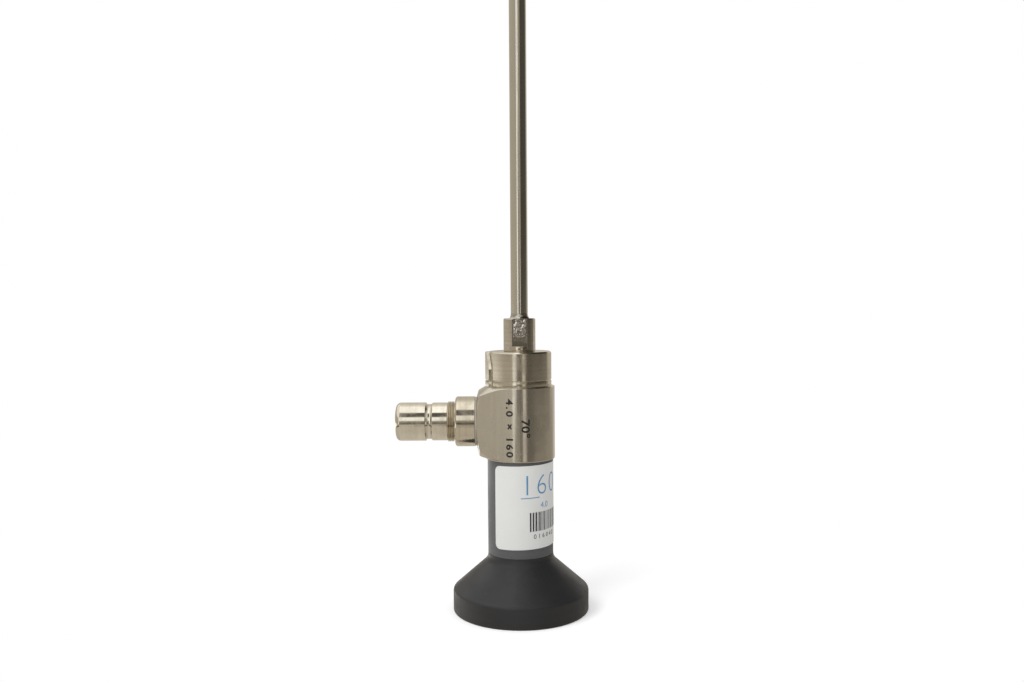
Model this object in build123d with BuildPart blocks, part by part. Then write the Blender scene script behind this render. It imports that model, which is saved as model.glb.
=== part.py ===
from build123d import *
import math
import os

os.makedirs("parts", exist_ok=True)

# A rigid endoscope with a 4 mm shaft and an oblique view, standing on its eyecup with the shaft up.
# The optical axis is Z, the eyecup's rim stands on z = 0 and the light post points along -X.
# All sizes are in millimetres and all angles in degrees.

# Clearances
fit = 0.02
glass_gap = 0.05

# Eyecup
eyecup_radius = 16.0
eyecup_rim_height = 5.04
eyecup_rim_round = 1.0
eyecup_cone_angle = 48.6
eyecup_neck_round = 2.6
eyecup_height = 13.6
eyecup_foot_chamfer = 0.25
eyecup_mouth_radius = 13.6
eyecup_dish_depth = 6.0
eyecup_dish_bulge = 1.3
ocular_opening_radius = 4.5
ocular_lip = 1.0

# Grip sleeve
grip_radius = 7.7
grip_length = 22.3

# Label, a film on the grip sleeve
label_height = 19.3
label_drop = 0.8
label_thickness = 0.1
label_left_angle = 48.4
label_wrap = 222.0
label_tilt = 1.5

# Body block
body_radius = 8.2
body_height = 17.1
body_reach = 10.13
body_flat_angle = 14.0
body_edge_radius = 11.7
body_top_shoulder = 2.3
body_top_shoulder_radius = 8.0
body_foot_shoulder = 3.1
body_foot_taper = 0.9
body_foot_taper_radius = 9.8
body_foot_round = 0.3
body_face_radius = 5.9
body_face_cone = 16.0
body_roof = 3.0

# Hub with its key
hub_radius = 7.45
hub_height = 8.1
hub_chamfer = 0.35
hub_groove_height = 1.25
hub_groove_width = 0.3
hub_groove_depth = 0.3
hub_spigot_radius = 5.0
key_radius = 8.1
key_half_width = 3.6
key_tip_half_width = 2.1
key_shoulder_height = 3.8
key_bulge = 0.35

# Nose collar and solder bead
nose_radius = 3.75
nose_height = 7.7
nose_chamfer = 0.2
nose_flat = 3.3
nose_ledge = 1.2
nose_spigot_radius = 3.0
nose_spigot_length = 4.1
bead_radius = 2.6
bead_height = 1.2
bead_hollow = 0.15

# Shaft
shaft_radius = 2.0
shaft_wall = 0.2
shaft_seat_radius = 1.92
working_length = 160.0
tip_angle = 60.0
inner_tube_radius = 1.5
inner_tube_wall = 0.1

# Light post
post_rise = 8.7
post_ring_radius = 5.7
post_ring_width = 0.4
post_flange_radius = 5.87
post_flange_width = 4.57
post_flange_chamfer = 0.35
post_neck_radius = 4.3
post_neck_width = 0.3
post_thread_radius = 4.75
post_thread_width = 1.55
post_spigot_radius = 3.4
post_spigot_length = 3.9
post_screw_radius = 3.8
post_screw_length = 3.5
post_nose_radius = 3.0

# Adapter on the light post
adapter_radius = 4.5
adapter_barrel_radius = 4.45
adapter_barrel_width = 3.85
adapter_groove_radius = 4.1
adapter_groove_width = 1.27
adapter_groove_chamfer = 0.3
adapter_tip_width = 7.03
adapter_end_round = 1.15
adapter_end_wall = 1.0
adapter_end_opening = 2.4

# Light fibres
fibre_radius = 1.2
ferrule_wall = 0.45
ferrule_inset = 7.5
fibre_bend_radius = 4.0
fibre_spread_radius = 3.9
fibre_spread_length = 5.5
fibre_spread_inset = 1.0

# Eyepiece barrel
barrel_radius = 6.5
barrel_bore_radius = 5.2
barrel_engagement = 5.0
barrel_seat_radius = 4.2
barrel_seat_wall = 1.0

# Ocular window and its ring
window_radius = 4.9
window_thickness = 1.2
window_ring_height = 0.8
window_gasket_height = 0.3

# Ocular cell and its lenses
ocular_lens_radius = 4.3
ocular_cell_lip = 0.8
ocular_cell_opening = 3.8
ocular_cell_collar = 0.4
eye_lens_thickness = 2.2
eye_lens_bulge = 0.8
ocular_spacer_height = 3.8
ocular_crown_thickness = 2.0
ocular_crown_bulge = 0.9
ocular_flint_thickness = 2.0
ocular_lock_height = 1.5

# Barrel seal
o_ring_section = 0.8
o_ring_groove_width = 1.1
o_ring_height = 2.6

# Field stop and bush at the lower end of the inner tube
bush_top_inset = 4.3
bush_height = 6.0
field_stop_thickness = 0.6
field_stop_radius = 1.15

# Relay of glass rods
rod_count = 6
rod_length = 26.0
rod_radius = 1.35
rod_bulge = 0.15
spacer_wall = 0.15

# Objective, prism and distal window
distal_window_thickness = 0.5
prism_gap = 0.1
prism_root = 1.5
front_lens_thickness = 1.6
front_lens_hollow = 0.6
objective_stop_thickness = 0.4
objective_stop_radius = 0.5
objective_crown_thickness = 1.8
objective_crown_bulge = 0.4
objective_flint_thickness = 1.2

# Heights of the main joints, from the eyecup's rim up
grip_top = eyecup_height + grip_length
post_height = grip_top + post_rise
body_top = grip_top + body_height
hub_top = body_top + hub_height
nose_top = hub_top + nose_height
tip_top = nose_top + working_length

# Bores that the pieces share
barrel_low = eyecup_dish_depth + ocular_lip
barrel_top = grip_top + barrel_engagement
cavity_top = body_top - body_roof
bead_top = nose_top + bead_height
tube_bore_radius = shaft_radius - shaft_wall
inner_bore_radius = inner_tube_radius - inner_tube_wall
nose_low = hub_top - nose_spigot_length
ferrule_radius = fibre_radius + ferrule_wall

# The oblique plane of the tip, high on the light post's side
tip_slope = math.tan(math.radians(tip_angle))
tip_normal = (math.sin(math.radians(tip_angle)), 0, math.cos(math.radians(tip_angle)))
tip_plane = Plane(origin=(-shaft_radius, 0, tip_top), z_dir=tip_normal)
post_axis = Axis((0, 0, post_height), (1, 0, 0))


def tube(outer, inner, low, high):
    # A round tube on the Z axis, or a disc where inner is zero
    with BuildPart() as piece:
        with BuildSketch(Plane.XY.offset(low)):
            Circle(outer)
            if inner:
                Circle(inner, mode=Mode.SUBTRACT)
        extrude(amount=high - low)
    return piece.part


def lens(radius, land, low, high, low_bulge, high_bulge):
    # A round lens on the Z axis with a flat land at its rim from low to high, and its middle standing
    # out by a bulge at each end
    with BuildPart() as piece:
        with BuildSketch(Plane.XZ):
            with BuildLine():
                if low_bulge:
                    TangentArc((0, low - low_bulge), (radius - land, low), tangent=(1, 0))
                else:
                    Line((0, low), (radius - land, low))
                Polyline((radius - land, low), (radius, low), (radius, high), (radius - land, high))
                if high_bulge:
                    TangentArc((0, high + high_bulge), (radius - land, high), tangent=(1, 0))
                else:
                    Line((0, high), (radius - land, high))
                Line((0, low - low_bulge), (0, high + high_bulge))
            make_face()
        revolve(axis=Axis.Z)
    return piece.part


def turned_edge(piece, radius, height):
    # The edge of a turned piece that lies nearest to a radius and a height
    circles = piece.edges().filter_by(GeomType.CIRCLE)
    return min(circles, key=lambda e: abs(e.radius - radius) + abs(e.arc_center.Z - height))


# Eyecup: rim, cone and neck outside; dish, lip and barrel socket inside
cone_slope = math.tan(math.radians(eyecup_cone_angle))
cone_top = eyecup_rim_height + (eyecup_radius - grip_radius) / cone_slope
with BuildPart() as eyecup:
    with BuildSketch(Plane.XZ):
        with BuildLine():
            Polyline(
                (eyecup_mouth_radius, 0),
                (eyecup_radius, 0),
                (eyecup_radius, eyecup_rim_height),
                (grip_radius, cone_top),
                (grip_radius, eyecup_height),
                (barrel_radius + fit, eyecup_height),
                (barrel_radius + fit, barrel_low),
                (ocular_opening_radius, barrel_low),
                (ocular_opening_radius, eyecup_dish_depth),
            )
            SagittaArc(
                (ocular_opening_radius, eyecup_dish_depth),
                (eyecup_mouth_radius, 0),
                eyecup_dish_bulge,
            )
        make_face()
    revolve(axis=Axis.Z)
    fillet(turned_edge(eyecup, eyecup_radius, eyecup_rim_height), eyecup_rim_round)
    fillet(turned_edge(eyecup, grip_radius, cone_top), eyecup_neck_round)
    chamfer(turned_edge(eyecup, eyecup_radius, 0), eyecup_foot_chamfer)
eyecup.part.label = "eyecup"
export_step(eyecup.part, "parts/eyecup.step")

# Grip sleeve
with BuildPart() as grip_sleeve:
    add(tube(grip_radius, barrel_radius + fit, eyecup_height, grip_top))
grip_sleeve.part.label = "grip_sleeve"
export_step(grip_sleeve.part, "parts/grip_sleeve.step")

# Label: a sector of film with rounded corners, its upper and lower edges a little tilted
label_middle = grip_top - label_drop - label_height / 2
label_start = math.radians(-90 - label_left_angle)
label_start_plane = Plane(
    origin=(0, 0, 0),
    x_dir=(math.cos(label_start), math.sin(label_start), 0),
    z_dir=(math.sin(label_start), -math.cos(label_start), 0),
)
with BuildPart() as label:
    with BuildSketch(label_start_plane):
        with Locations((grip_radius + label_thickness / 2, label_middle)):
            Rectangle(label_thickness, 2 * label_height)
    revolve(axis=Axis.Z, revolution_arc=label_wrap)
    with BuildSketch(Plane.XZ):
        with Locations((0, label_middle)):
            Rectangle(4 * grip_radius, label_height, rotation=label_tilt)
    extrude(amount=2 * grip_radius, both=True, mode=Mode.INTERSECT)
label.part.label = "label"
export_step(label.part, "parts/label.step")

# Body block: a cylinder whose two flats converge to the light post, with turned shoulders and a
# shallow turned cone for the post's face
flat_turn = math.radians(body_flat_angle)
tangent_x = -body_radius * math.sin(flat_turn)
tangent_y = body_radius * math.cos(flat_turn)
flat_end_y = (body_radius - body_reach * math.sin(flat_turn)) / math.cos(flat_turn)
face_rim_radius = body_height
face_cone_run = (face_rim_radius - body_face_radius) * math.tan(math.radians(body_face_cone))
with BuildPart() as body_block:
    with BuildSketch(Plane.XY.offset(grip_top)):
        Circle(body_radius)
        with BuildLine():
            Polyline(
                (tangent_x, -tangent_y),
                (tangent_x, tangent_y),
                (-body_reach, flat_end_y),
                (-body_reach, -flat_end_y),
                close=True,
            )
        make_face()
    extrude(amount=body_height)
    with BuildSketch(Plane.XZ):
        with BuildLine():
            Line((0, grip_top), (body_radius - body_foot_round, grip_top))
            TangentArc(
                (body_radius - body_foot_round, grip_top),
                (body_radius, grip_top + body_foot_round),
                tangent=(1, 0),
            )
            Polyline(
                (body_radius, grip_top + body_foot_round),
                (body_foot_taper_radius, grip_top + body_foot_taper),
                (body_edge_radius, grip_top + body_foot_shoulder),
                (2 * body_edge_radius, grip_top + body_foot_shoulder),
                (2 * body_edge_radius, body_top - body_top_shoulder),
                (body_edge_radius, body_top - body_top_shoulder),
                (body_top_shoulder_radius, body_top),
                (0, body_top),
                (0, grip_top),
            )
        make_face()
    revolve(axis=Axis.Z, mode=Mode.INTERSECT)
    with BuildSketch(Plane.XZ):
        with BuildLine():
            Polyline(
                (-body_reach, post_height),
                (-body_reach, post_height + body_face_radius),
                (face_cone_run - body_reach, post_height + face_rim_radius),
                (body_reach, post_height + face_rim_radius),
                (body_reach, post_height),
                close=True,
            )
        make_face()
    revolve(axis=post_axis, mode=Mode.INTERSECT)
    add(tube(barrel_radius + fit, 0, grip_top, barrel_top), mode=Mode.SUBTRACT)
    add(tube(barrel_bore_radius, 0, barrel_top, cavity_top), mode=Mode.SUBTRACT)
    add(tube(hub_spigot_radius + fit, 0, cavity_top, body_top), mode=Mode.SUBTRACT)
    with BuildSketch(Plane.YZ.offset(-body_reach)):
        with Locations((0, post_height)):
            Circle(post_spigot_radius + fit)
    extrude(amount=body_reach, mode=Mode.SUBTRACT)
body_block.part.label = "body_block"
export_step(body_block.part, "parts/body_block.step")

# Hub: a groove near its foot, a key with a pointed top on the light post's side, and a spigot in the
# body; its bore narrows round the spread of the fibres
spread_low = cavity_top + fibre_spread_inset
with BuildPart() as hub:
    with BuildSketch(Plane.XZ):
        with BuildLine():
            Polyline(
                (nose_spigot_radius + fit, hub_top),
                (hub_radius - hub_chamfer, hub_top),
                (hub_radius, hub_top - hub_chamfer),
                (hub_radius, body_top),
                (hub_spigot_radius, body_top),
                (hub_spigot_radius, cavity_top),
                (fibre_spread_radius + glass_gap, cavity_top),
                (fibre_spread_radius + glass_gap, spread_low),
                (tube_bore_radius + glass_gap, nose_low),
                (nose_spigot_radius + fit, nose_low),
                close=True,
            )
        make_face()
    revolve(axis=Axis.Z)
    with BuildSketch(Plane.YZ.offset(-nose_radius)):
        with BuildLine():
            Polyline(
                (-key_half_width, body_top + key_shoulder_height),
                (-key_half_width, body_top),
                (key_half_width, body_top),
                (key_half_width, body_top + key_shoulder_height),
            )
            SagittaArc(
                (key_half_width, body_top + key_shoulder_height),
                (key_tip_half_width, hub_top),
                key_bulge,
            )
            Line((key_tip_half_width, hub_top), (-key_tip_half_width, hub_top))
            SagittaArc(
                (-key_tip_half_width, hub_top),
                (-key_half_width, body_top + key_shoulder_height),
                key_bulge,
            )
        make_face()
    extrude(amount=-hub_radius)
    add(tube(2 * key_radius, key_radius, body_top, hub_top), mode=Mode.SUBTRACT)
    groove_low = body_top + hub_groove_height
    groove = tube(2 * hub_radius, hub_radius - hub_groove_depth, groove_low, groove_low + hub_groove_width)
    add(groove, mode=Mode.SUBTRACT)
hub.part.label = "hub"
export_step(hub.part, "parts/hub.step")

# Nose collar: a milled flat towards the front, above a ledge, and a spigot in the hub
with BuildPart() as nose_collar:
    add(tube(nose_radius, shaft_seat_radius + fit, hub_top, nose_top))
    chamfer(turned_edge(nose_collar, nose_radius, nose_top), nose_chamfer)
    add(tube(nose_spigot_radius, shaft_seat_radius + fit, nose_low, hub_top))
    with BuildSketch(Plane.XY.offset(hub_top + nose_ledge)):
        with Locations((0, -nose_flat - nose_radius)):
            Rectangle(2 * nose_radius, 2 * nose_radius)
    extrude(amount=nose_height, mode=Mode.SUBTRACT)
nose_collar.part.label = "nose_collar"
export_step(nose_collar.part, "parts/nose_collar.step")

# Solder bead: a hollow fillet of solder between the collar and the shaft
with BuildPart() as solder_bead:
    with BuildSketch(Plane.XZ):
        with BuildLine():
            Line((shaft_seat_radius, nose_top), (bead_radius, nose_top))
            SagittaArc((bead_radius, nose_top), (shaft_radius, bead_top), -bead_hollow)
            Line((shaft_radius, bead_top), (shaft_seat_radius, nose_top))
        make_face()
    revolve(axis=Axis.Z)
solder_bead.part.label = "solder_bead"
export_step(solder_bead.part, "parts/solder_bead.step")

# Outer and inner tubes, cut off by the oblique plane of the tip; the outer one is ground down to
# its seat in the collar, with a taper under the solder bead
with BuildPart() as outer_tube:
    with BuildSketch(Plane.XZ):
        with BuildLine():
            Polyline(
                (tube_bore_radius, nose_low),
                (shaft_seat_radius, nose_low),
                (shaft_seat_radius, nose_top),
                (shaft_radius, bead_top),
                (shaft_radius, tip_top),
                (tube_bore_radius, tip_top),
                close=True,
            )
        make_face()
    revolve(axis=Axis.Z)
    split(bisect_by=tip_plane, keep=Keep.BOTTOM)
outer_tube.part.label = "outer_tube"
export_step(outer_tube.part, "parts/outer_tube.step")

bush_top = barrel_top - bush_top_inset
bush_low = bush_top - bush_height
with BuildPart() as inner_tube:
    add(tube(inner_tube_radius, inner_bore_radius, bush_low, tip_top))
    split(bisect_by=tip_plane, keep=Keep.BOTTOM)
inner_tube.part.label = "inner_tube"
export_step(inner_tube.part, "parts/inner_tube.step")

# Light post, turned about its own axis; each distance is measured from the optical axis
ring_start = body_reach
flange_start = ring_start + post_ring_width
flange_end = flange_start + post_flange_width
neck_end = flange_end + post_neck_width
thread_end = neck_end + post_thread_width
screw_end = thread_end + post_screw_length
groove_start = thread_end + adapter_barrel_width
groove_end = groove_start + adapter_groove_width
adapter_end = groove_end + adapter_tip_width
post_end = adapter_end - adapter_end_wall
with BuildPart() as post_ring:
    with BuildSketch(Plane.YZ.offset(-flange_start)):
        with Locations((0, post_height)):
            Circle(post_ring_radius)
            Circle(post_spigot_radius + fit, mode=Mode.SUBTRACT)
    extrude(amount=post_ring_width)
post_ring.part.label = "post_ring"
export_step(post_ring.part, "parts/post_ring.step")

with BuildPart() as light_post:
    with BuildSketch(Plane.XZ):
        with BuildLine():
            Polyline(
                (-(flange_start - post_spigot_length), post_height + ferrule_radius + fit),
                (-(flange_start - post_spigot_length), post_height + post_spigot_radius),
                (-flange_start, post_height + post_spigot_radius),
                (-flange_start, post_height + post_flange_radius),
                (-(flange_end - post_flange_chamfer), post_height + post_flange_radius),
                (-flange_end, post_height + post_flange_radius - post_flange_chamfer),
                (-flange_end, post_height + post_neck_radius),
                (-neck_end, post_height + post_neck_radius),
                (-neck_end, post_height + post_thread_radius),
                (-thread_end, post_height + post_thread_radius),
                (-thread_end, post_height + post_screw_radius),
                (-screw_end, post_height + post_screw_radius),
                (-screw_end, post_height + post_nose_radius),
                (-post_end, post_height + post_nose_radius),
                (-post_end, post_height + ferrule_radius + fit),
                close=True,
            )
        make_face()
    revolve(axis=post_axis)
light_post.part.label = "light_post"
export_step(light_post.part, "parts/light_post.step")

# Adapter: a barrel with the groove that the light cable snaps into, screwed on the post
with BuildPart() as post_adapter:
    with BuildSketch(Plane.XZ):
        with BuildLine():
            Polyline(
                (-thread_end, post_height + post_screw_radius + fit),
                (-thread_end, post_height + adapter_barrel_radius),
                (-(groove_start - adapter_groove_chamfer), post_height + adapter_barrel_radius),
                (-groove_start, post_height + adapter_groove_radius),
                (-groove_end, post_height + adapter_groove_radius),
                (-groove_end, post_height + adapter_radius),
                (-adapter_end, post_height + adapter_radius),
                (-adapter_end, post_height + adapter_end_opening),
                (-post_end, post_height + adapter_end_opening),
                (-post_end, post_height + post_nose_radius + fit),
                (-screw_end, post_height + post_nose_radius + fit),
                (-screw_end, post_height + post_screw_radius + fit),
                close=True,
            )
        make_face()
    revolve(axis=post_axis)
    end_edges = post_adapter.edges().filter_by(GeomType.CIRCLE).group_by(Axis.X)[0]
    fillet(end_edges.sort_by(SortBy.RADIUS)[-1], adapter_end_round)
post_adapter.part.label = "post_adapter"
export_step(post_adapter.part, "parts/post_adapter.step")

with BuildPart() as fibre_ferrule:
    with BuildSketch(Plane.YZ.offset(-post_end)):
        with Locations((0, post_height)):
            Circle(ferrule_radius)
            Circle(fibre_radius + fit, mode=Mode.SUBTRACT)
    extrude(amount=post_end - ferrule_inset)
fibre_ferrule.part.label = "fibre_ferrule"
export_step(fibre_ferrule.part, "parts/fibre_ferrule.step")

# Light fibres: a round bundle from the post, a bend, a spread, and a sleeve to the tip
bundle_x = -(inner_tube_radius + fit + glass_gap + fibre_radius)
spread_high = spread_low + fibre_spread_length
with BuildPart() as fibre_bundle:
    with BuildLine():
        bundle_run = Line((-post_end, 0, post_height), (bundle_x - fibre_bend_radius, 0, post_height))
        bundle_bend = TangentArc(
            bundle_run @ 1,
            (bundle_x, 0, post_height + fibre_bend_radius),
            tangent=bundle_run % 1,
        )
        Line(bundle_bend @ 1, (bundle_x, 0, spread_low + glass_gap))
    with BuildSketch(Plane.YZ.offset(-post_end)):
        with Locations((0, post_height)):
            Circle(fibre_radius)
    sweep()
    with BuildSketch(Plane.XZ):
        with BuildLine():
            Polyline(
                (inner_tube_radius + fit, spread_low),
                (fibre_spread_radius, spread_low),
                (tube_bore_radius - fit, spread_high),
                (tube_bore_radius - fit, tip_top),
                (inner_tube_radius + fit, tip_top),
                close=True,
            )
        make_face()
    revolve(axis=Axis.Z)
    split(bisect_by=tip_plane, keep=Keep.BOTTOM)
fibre_bundle.part.label = "fibre_bundle"
export_step(fibre_bundle.part, "parts/fibre_bundle.step")

# Eyepiece barrel: window seat below, ocular bore above, and a groove for the seal in the body
seat_low = barrel_low + window_ring_height + window_thickness + window_gasket_height
seat_high = seat_low + barrel_seat_wall
o_ring_middle = grip_top + o_ring_height
with BuildPart() as eyepiece_barrel:
    add(tube(barrel_radius, barrel_bore_radius, seat_high, barrel_top))
    add(tube(barrel_radius, barrel_seat_radius, seat_low, seat_high))
    add(tube(barrel_radius, window_radius + glass_gap, barrel_low, seat_low))
    o_ring_groove = tube(
        barrel_radius + o_ring_section,
        barrel_radius + fit - o_ring_section,
        o_ring_middle - o_ring_groove_width / 2,
        o_ring_middle + o_ring_groove_width / 2,
    )
    add(o_ring_groove, mode=Mode.SUBTRACT)
eyepiece_barrel.part.label = "eyepiece_barrel"
export_step(eyepiece_barrel.part, "parts/eyepiece_barrel.step")

with BuildPart() as barrel_o_ring:
    with BuildSketch(Plane.XZ):
        with Locations((barrel_radius + fit - o_ring_section / 2, o_ring_middle)):
            Circle(o_ring_section / 2)
    revolve(axis=Axis.Z)
barrel_o_ring.part.label = "barrel_o_ring"
export_step(barrel_o_ring.part, "parts/barrel_o_ring.step")

# Ocular window, held by a ring against a gasket
window_low = barrel_low + window_ring_height
window_high = window_low + window_thickness
with BuildPart() as window_ring:
    add(tube(window_radius, ocular_opening_radius, barrel_low, window_low))
window_ring.part.label = "window_ring"
export_step(window_ring.part, "parts/window_ring.step")

with BuildPart() as ocular_window:
    add(tube(window_radius, 0, window_low, window_high))
ocular_window.part.label = "ocular_window"
export_step(ocular_window.part, "parts/ocular_window.step")

with BuildPart() as window_gasket:
    add(tube(window_radius, barrel_seat_radius, window_high, seat_low))
window_gasket.part.label = "window_gasket"
export_step(window_gasket.part, "parts/window_gasket.step")

# Ocular cell with its lenses, from the eye's side up
cell_low = seat_high
ocular_land = ocular_lens_radius - ocular_cell_opening
eye_lens_low = cell_low + ocular_cell_lip
eye_lens_high = eye_lens_low + eye_lens_thickness
crown_low = eye_lens_high + ocular_spacer_height
crown_high = crown_low + ocular_crown_thickness
flint_high = crown_high + ocular_flint_thickness
lock_high = flint_high + ocular_lock_height
cell_high = lock_high + ocular_cell_collar
with BuildPart() as ocular_cell:
    add(tube(barrel_bore_radius - fit, ocular_lens_radius + glass_gap, eye_lens_low, cell_high))
    add(tube(barrel_bore_radius - fit, ocular_cell_opening, cell_low, eye_lens_low))
ocular_cell.part.label = "ocular_cell"
export_step(ocular_cell.part, "parts/ocular_cell.step")

with BuildPart() as ocular_eye_lens:
    add(lens(ocular_lens_radius, ocular_land, eye_lens_low, eye_lens_high, 0, eye_lens_bulge))
ocular_eye_lens.part.label = "ocular_eye_lens"
export_step(ocular_eye_lens.part, "parts/ocular_eye_lens.step")

with BuildPart() as ocular_spacer:
    add(tube(ocular_lens_radius, ocular_cell_opening, eye_lens_high, crown_low))
ocular_spacer.part.label = "ocular_spacer"
export_step(ocular_spacer.part, "parts/ocular_spacer.step")

with BuildPart() as ocular_crown_lens:
    crown_bulges = (ocular_crown_bulge, ocular_crown_bulge)
    add(lens(ocular_lens_radius, ocular_land, crown_low, crown_high, *crown_bulges))
ocular_crown_lens.part.label = "ocular_crown_lens"
export_step(ocular_crown_lens.part, "parts/ocular_crown_lens.step")

with BuildPart() as ocular_flint_lens:
    add(lens(ocular_lens_radius, ocular_land, crown_high, flint_high, -ocular_crown_bulge, 0))
ocular_flint_lens.part.label = "ocular_flint_lens"
export_step(ocular_flint_lens.part, "parts/ocular_flint_lens.step")

with BuildPart() as ocular_lock_ring:
    add(tube(ocular_lens_radius, ocular_cell_opening, flint_high, lock_high))
ocular_lock_ring.part.label = "ocular_lock_ring"
export_step(ocular_lock_ring.part, "parts/ocular_lock_ring.step")

# Field stop, and the bush that centres the inner tube in the barrel
with BuildPart() as relay_bush:
    add(tube(barrel_bore_radius - fit, inner_tube_radius + fit, bush_low, bush_top))
relay_bush.part.label = "relay_bush"
export_step(relay_bush.part, "parts/relay_bush.step")

with BuildPart() as field_stop:
    add(tube(barrel_bore_radius - fit, field_stop_radius, bush_low - field_stop_thickness, bush_low))
field_stop.part.label = "field_stop"
export_step(field_stop.part, "parts/field_stop.step")

# Objective: from the relay up, a cemented pair, a stop and a hollow front lens under the prism
prism_low = tip_top - 2 * shaft_radius * tip_slope - prism_root
front_lens_low = prism_low - front_lens_thickness
stop_low = front_lens_low - objective_stop_thickness
flint_low = stop_low - objective_flint_thickness
relay_high = flint_low - objective_crown_thickness
with BuildPart() as objective_crown_lens:
    add(lens(rod_radius, spacer_wall, relay_high, flint_low, 0, objective_crown_bulge))
objective_crown_lens.part.label = "objective_crown_lens"
export_step(objective_crown_lens.part, "parts/objective_crown_lens.step")

with BuildPart() as objective_flint_lens:
    add(lens(rod_radius, spacer_wall, flint_low, stop_low, -objective_crown_bulge, 0))
objective_flint_lens.part.label = "objective_flint_lens"
export_step(objective_flint_lens.part, "parts/objective_flint_lens.step")

with BuildPart() as objective_stop:
    add(tube(rod_radius, objective_stop_radius, stop_low, front_lens_low))
objective_stop.part.label = "objective_stop"
export_step(objective_stop.part, "parts/objective_stop.step")

with BuildPart() as objective_front_lens:
    add(lens(rod_radius, spacer_wall, front_lens_low, prism_low, -front_lens_hollow, 0))
objective_front_lens.part.label = "objective_front_lens"
export_step(objective_front_lens.part, "parts/objective_front_lens.step")

# Prism and distal window, both cut parallel to the tip's plane
window_under_plane = tip_plane.offset(-distal_window_thickness)
prism_plane = tip_plane.offset(-distal_window_thickness - prism_gap)
with BuildPart() as prism:
    add(tube(rod_radius, 0, prism_low, tip_top))
    split(bisect_by=prism_plane, keep=Keep.BOTTOM)
prism.part.label = "prism"
export_step(prism.part, "parts/prism.step")

with BuildPart() as distal_window:
    add(tube(rod_radius, 0, prism_low, tip_top))
    split(bisect_by=tip_plane, keep=Keep.BOTTOM)
    split(bisect_by=window_under_plane, keep=Keep.TOP)
distal_window.part.label = "distal_window"
export_step(distal_window.part, "parts/distal_window.step")

# Relay: glass rods with convex ends, and a spacer tube below, between and above them
spacer_length = (relay_high - bush_low - rod_count * rod_length) / (rod_count + 1)
relay_pitch = rod_length + spacer_length
for index in range(rod_count + 1):
    spacer_low = bush_low + index * relay_pitch
    with BuildPart() as rod_spacer:
        add(tube(rod_radius, rod_radius - spacer_wall, spacer_low, spacer_low + spacer_length))
    rod_spacer.part.label = f"rod_spacer_{index + 1}"
    export_step(rod_spacer.part, f"parts/rod_spacer_{index + 1}.step")

for index in range(rod_count):
    rod_low = bush_low + spacer_length + index * relay_pitch
    with BuildPart() as rod_lens:
        add(lens(rod_radius, spacer_wall, rod_low, rod_low + rod_length, rod_bulge, rod_bulge))
    rod_lens.part.label = f"rod_lens_{index + 1}"
    export_step(rod_lens.part, f"parts/rod_lens_{index + 1}.step")
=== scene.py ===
import math
import random
import bpy
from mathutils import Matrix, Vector


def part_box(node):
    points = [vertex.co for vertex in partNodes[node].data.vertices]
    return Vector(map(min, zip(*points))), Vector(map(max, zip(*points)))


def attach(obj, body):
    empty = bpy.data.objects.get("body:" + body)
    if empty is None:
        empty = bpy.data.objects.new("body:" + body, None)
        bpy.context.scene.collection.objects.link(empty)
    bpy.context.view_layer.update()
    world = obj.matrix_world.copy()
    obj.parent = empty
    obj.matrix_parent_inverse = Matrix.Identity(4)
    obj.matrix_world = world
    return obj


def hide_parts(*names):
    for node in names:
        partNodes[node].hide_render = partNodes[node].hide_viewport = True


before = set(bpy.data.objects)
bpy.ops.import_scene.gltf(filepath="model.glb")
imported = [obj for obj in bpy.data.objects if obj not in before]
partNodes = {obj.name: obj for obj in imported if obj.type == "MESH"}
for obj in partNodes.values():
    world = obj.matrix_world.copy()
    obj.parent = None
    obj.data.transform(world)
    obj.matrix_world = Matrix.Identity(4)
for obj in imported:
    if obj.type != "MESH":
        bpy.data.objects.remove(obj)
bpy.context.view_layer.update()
mm = 0.001

# Stations that the pieces share, read from the frame
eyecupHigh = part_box("eyecup")[1]
gripLow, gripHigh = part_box("grip_sleeve")
labelLow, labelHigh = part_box("label")
bodyLow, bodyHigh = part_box("body_block")
hubLow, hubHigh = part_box("hub")
noseLow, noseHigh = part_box("nose_collar")
beadLow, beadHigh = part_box("solder_bead")
shaftLow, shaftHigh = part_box("outer_tube")
ringLow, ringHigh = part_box("post_ring")
postLow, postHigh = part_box("light_post")
adapterLow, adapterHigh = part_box("post_adapter")
barrelLow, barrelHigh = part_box("eyepiece_barrel")
postHeight = (ringLow.z + ringHigh.z) / 2
print("frame read:", len(partNodes), "nodes")


# Camera at the photograph's viewing angle, a little above the light post and level with the collar
cameraSet = {
    "place": (-1.70 * mm, -216.6 * mm, 72.4 * mm),
    "pitch": 87.64,
    "roll": 0.38,
    "lens": 32.41,
    "sensor": 36,
    "nearest": 0.005,
}


def makeCamera(spec):
    bpy.ops.object.camera_add(location=spec["place"])
    camera = bpy.context.object
    camera.name = "photoCamera"
    camera.rotation_euler = (math.radians(spec["pitch"]), math.radians(spec["roll"]), 0)
    camera.data.lens = spec["lens"]
    camera.data.sensor_width = spec["sensor"]
    camera.data.clip_start = spec["nearest"]
    bpy.context.scene.camera = camera


makeCamera(cameraSet)
print("camera set")


# Shader helpers
def addNode(tree, kind, **settings):
    node = tree.nodes.new(kind)
    for key, value in settings.items():
        setattr(node, key, value)
    return node


def mathNode(tree, operation, first, second=None):
    node = addNode(tree, "ShaderNodeMath", operation=operation)
    for slot, value in enumerate((first, second)):
        if value is None:
            continue
        if isinstance(value, (int, float)):
            node.inputs[slot].default_value = value
        else:
            tree.links.new(value, node.inputs[slot])
    return node.outputs[0]


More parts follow.
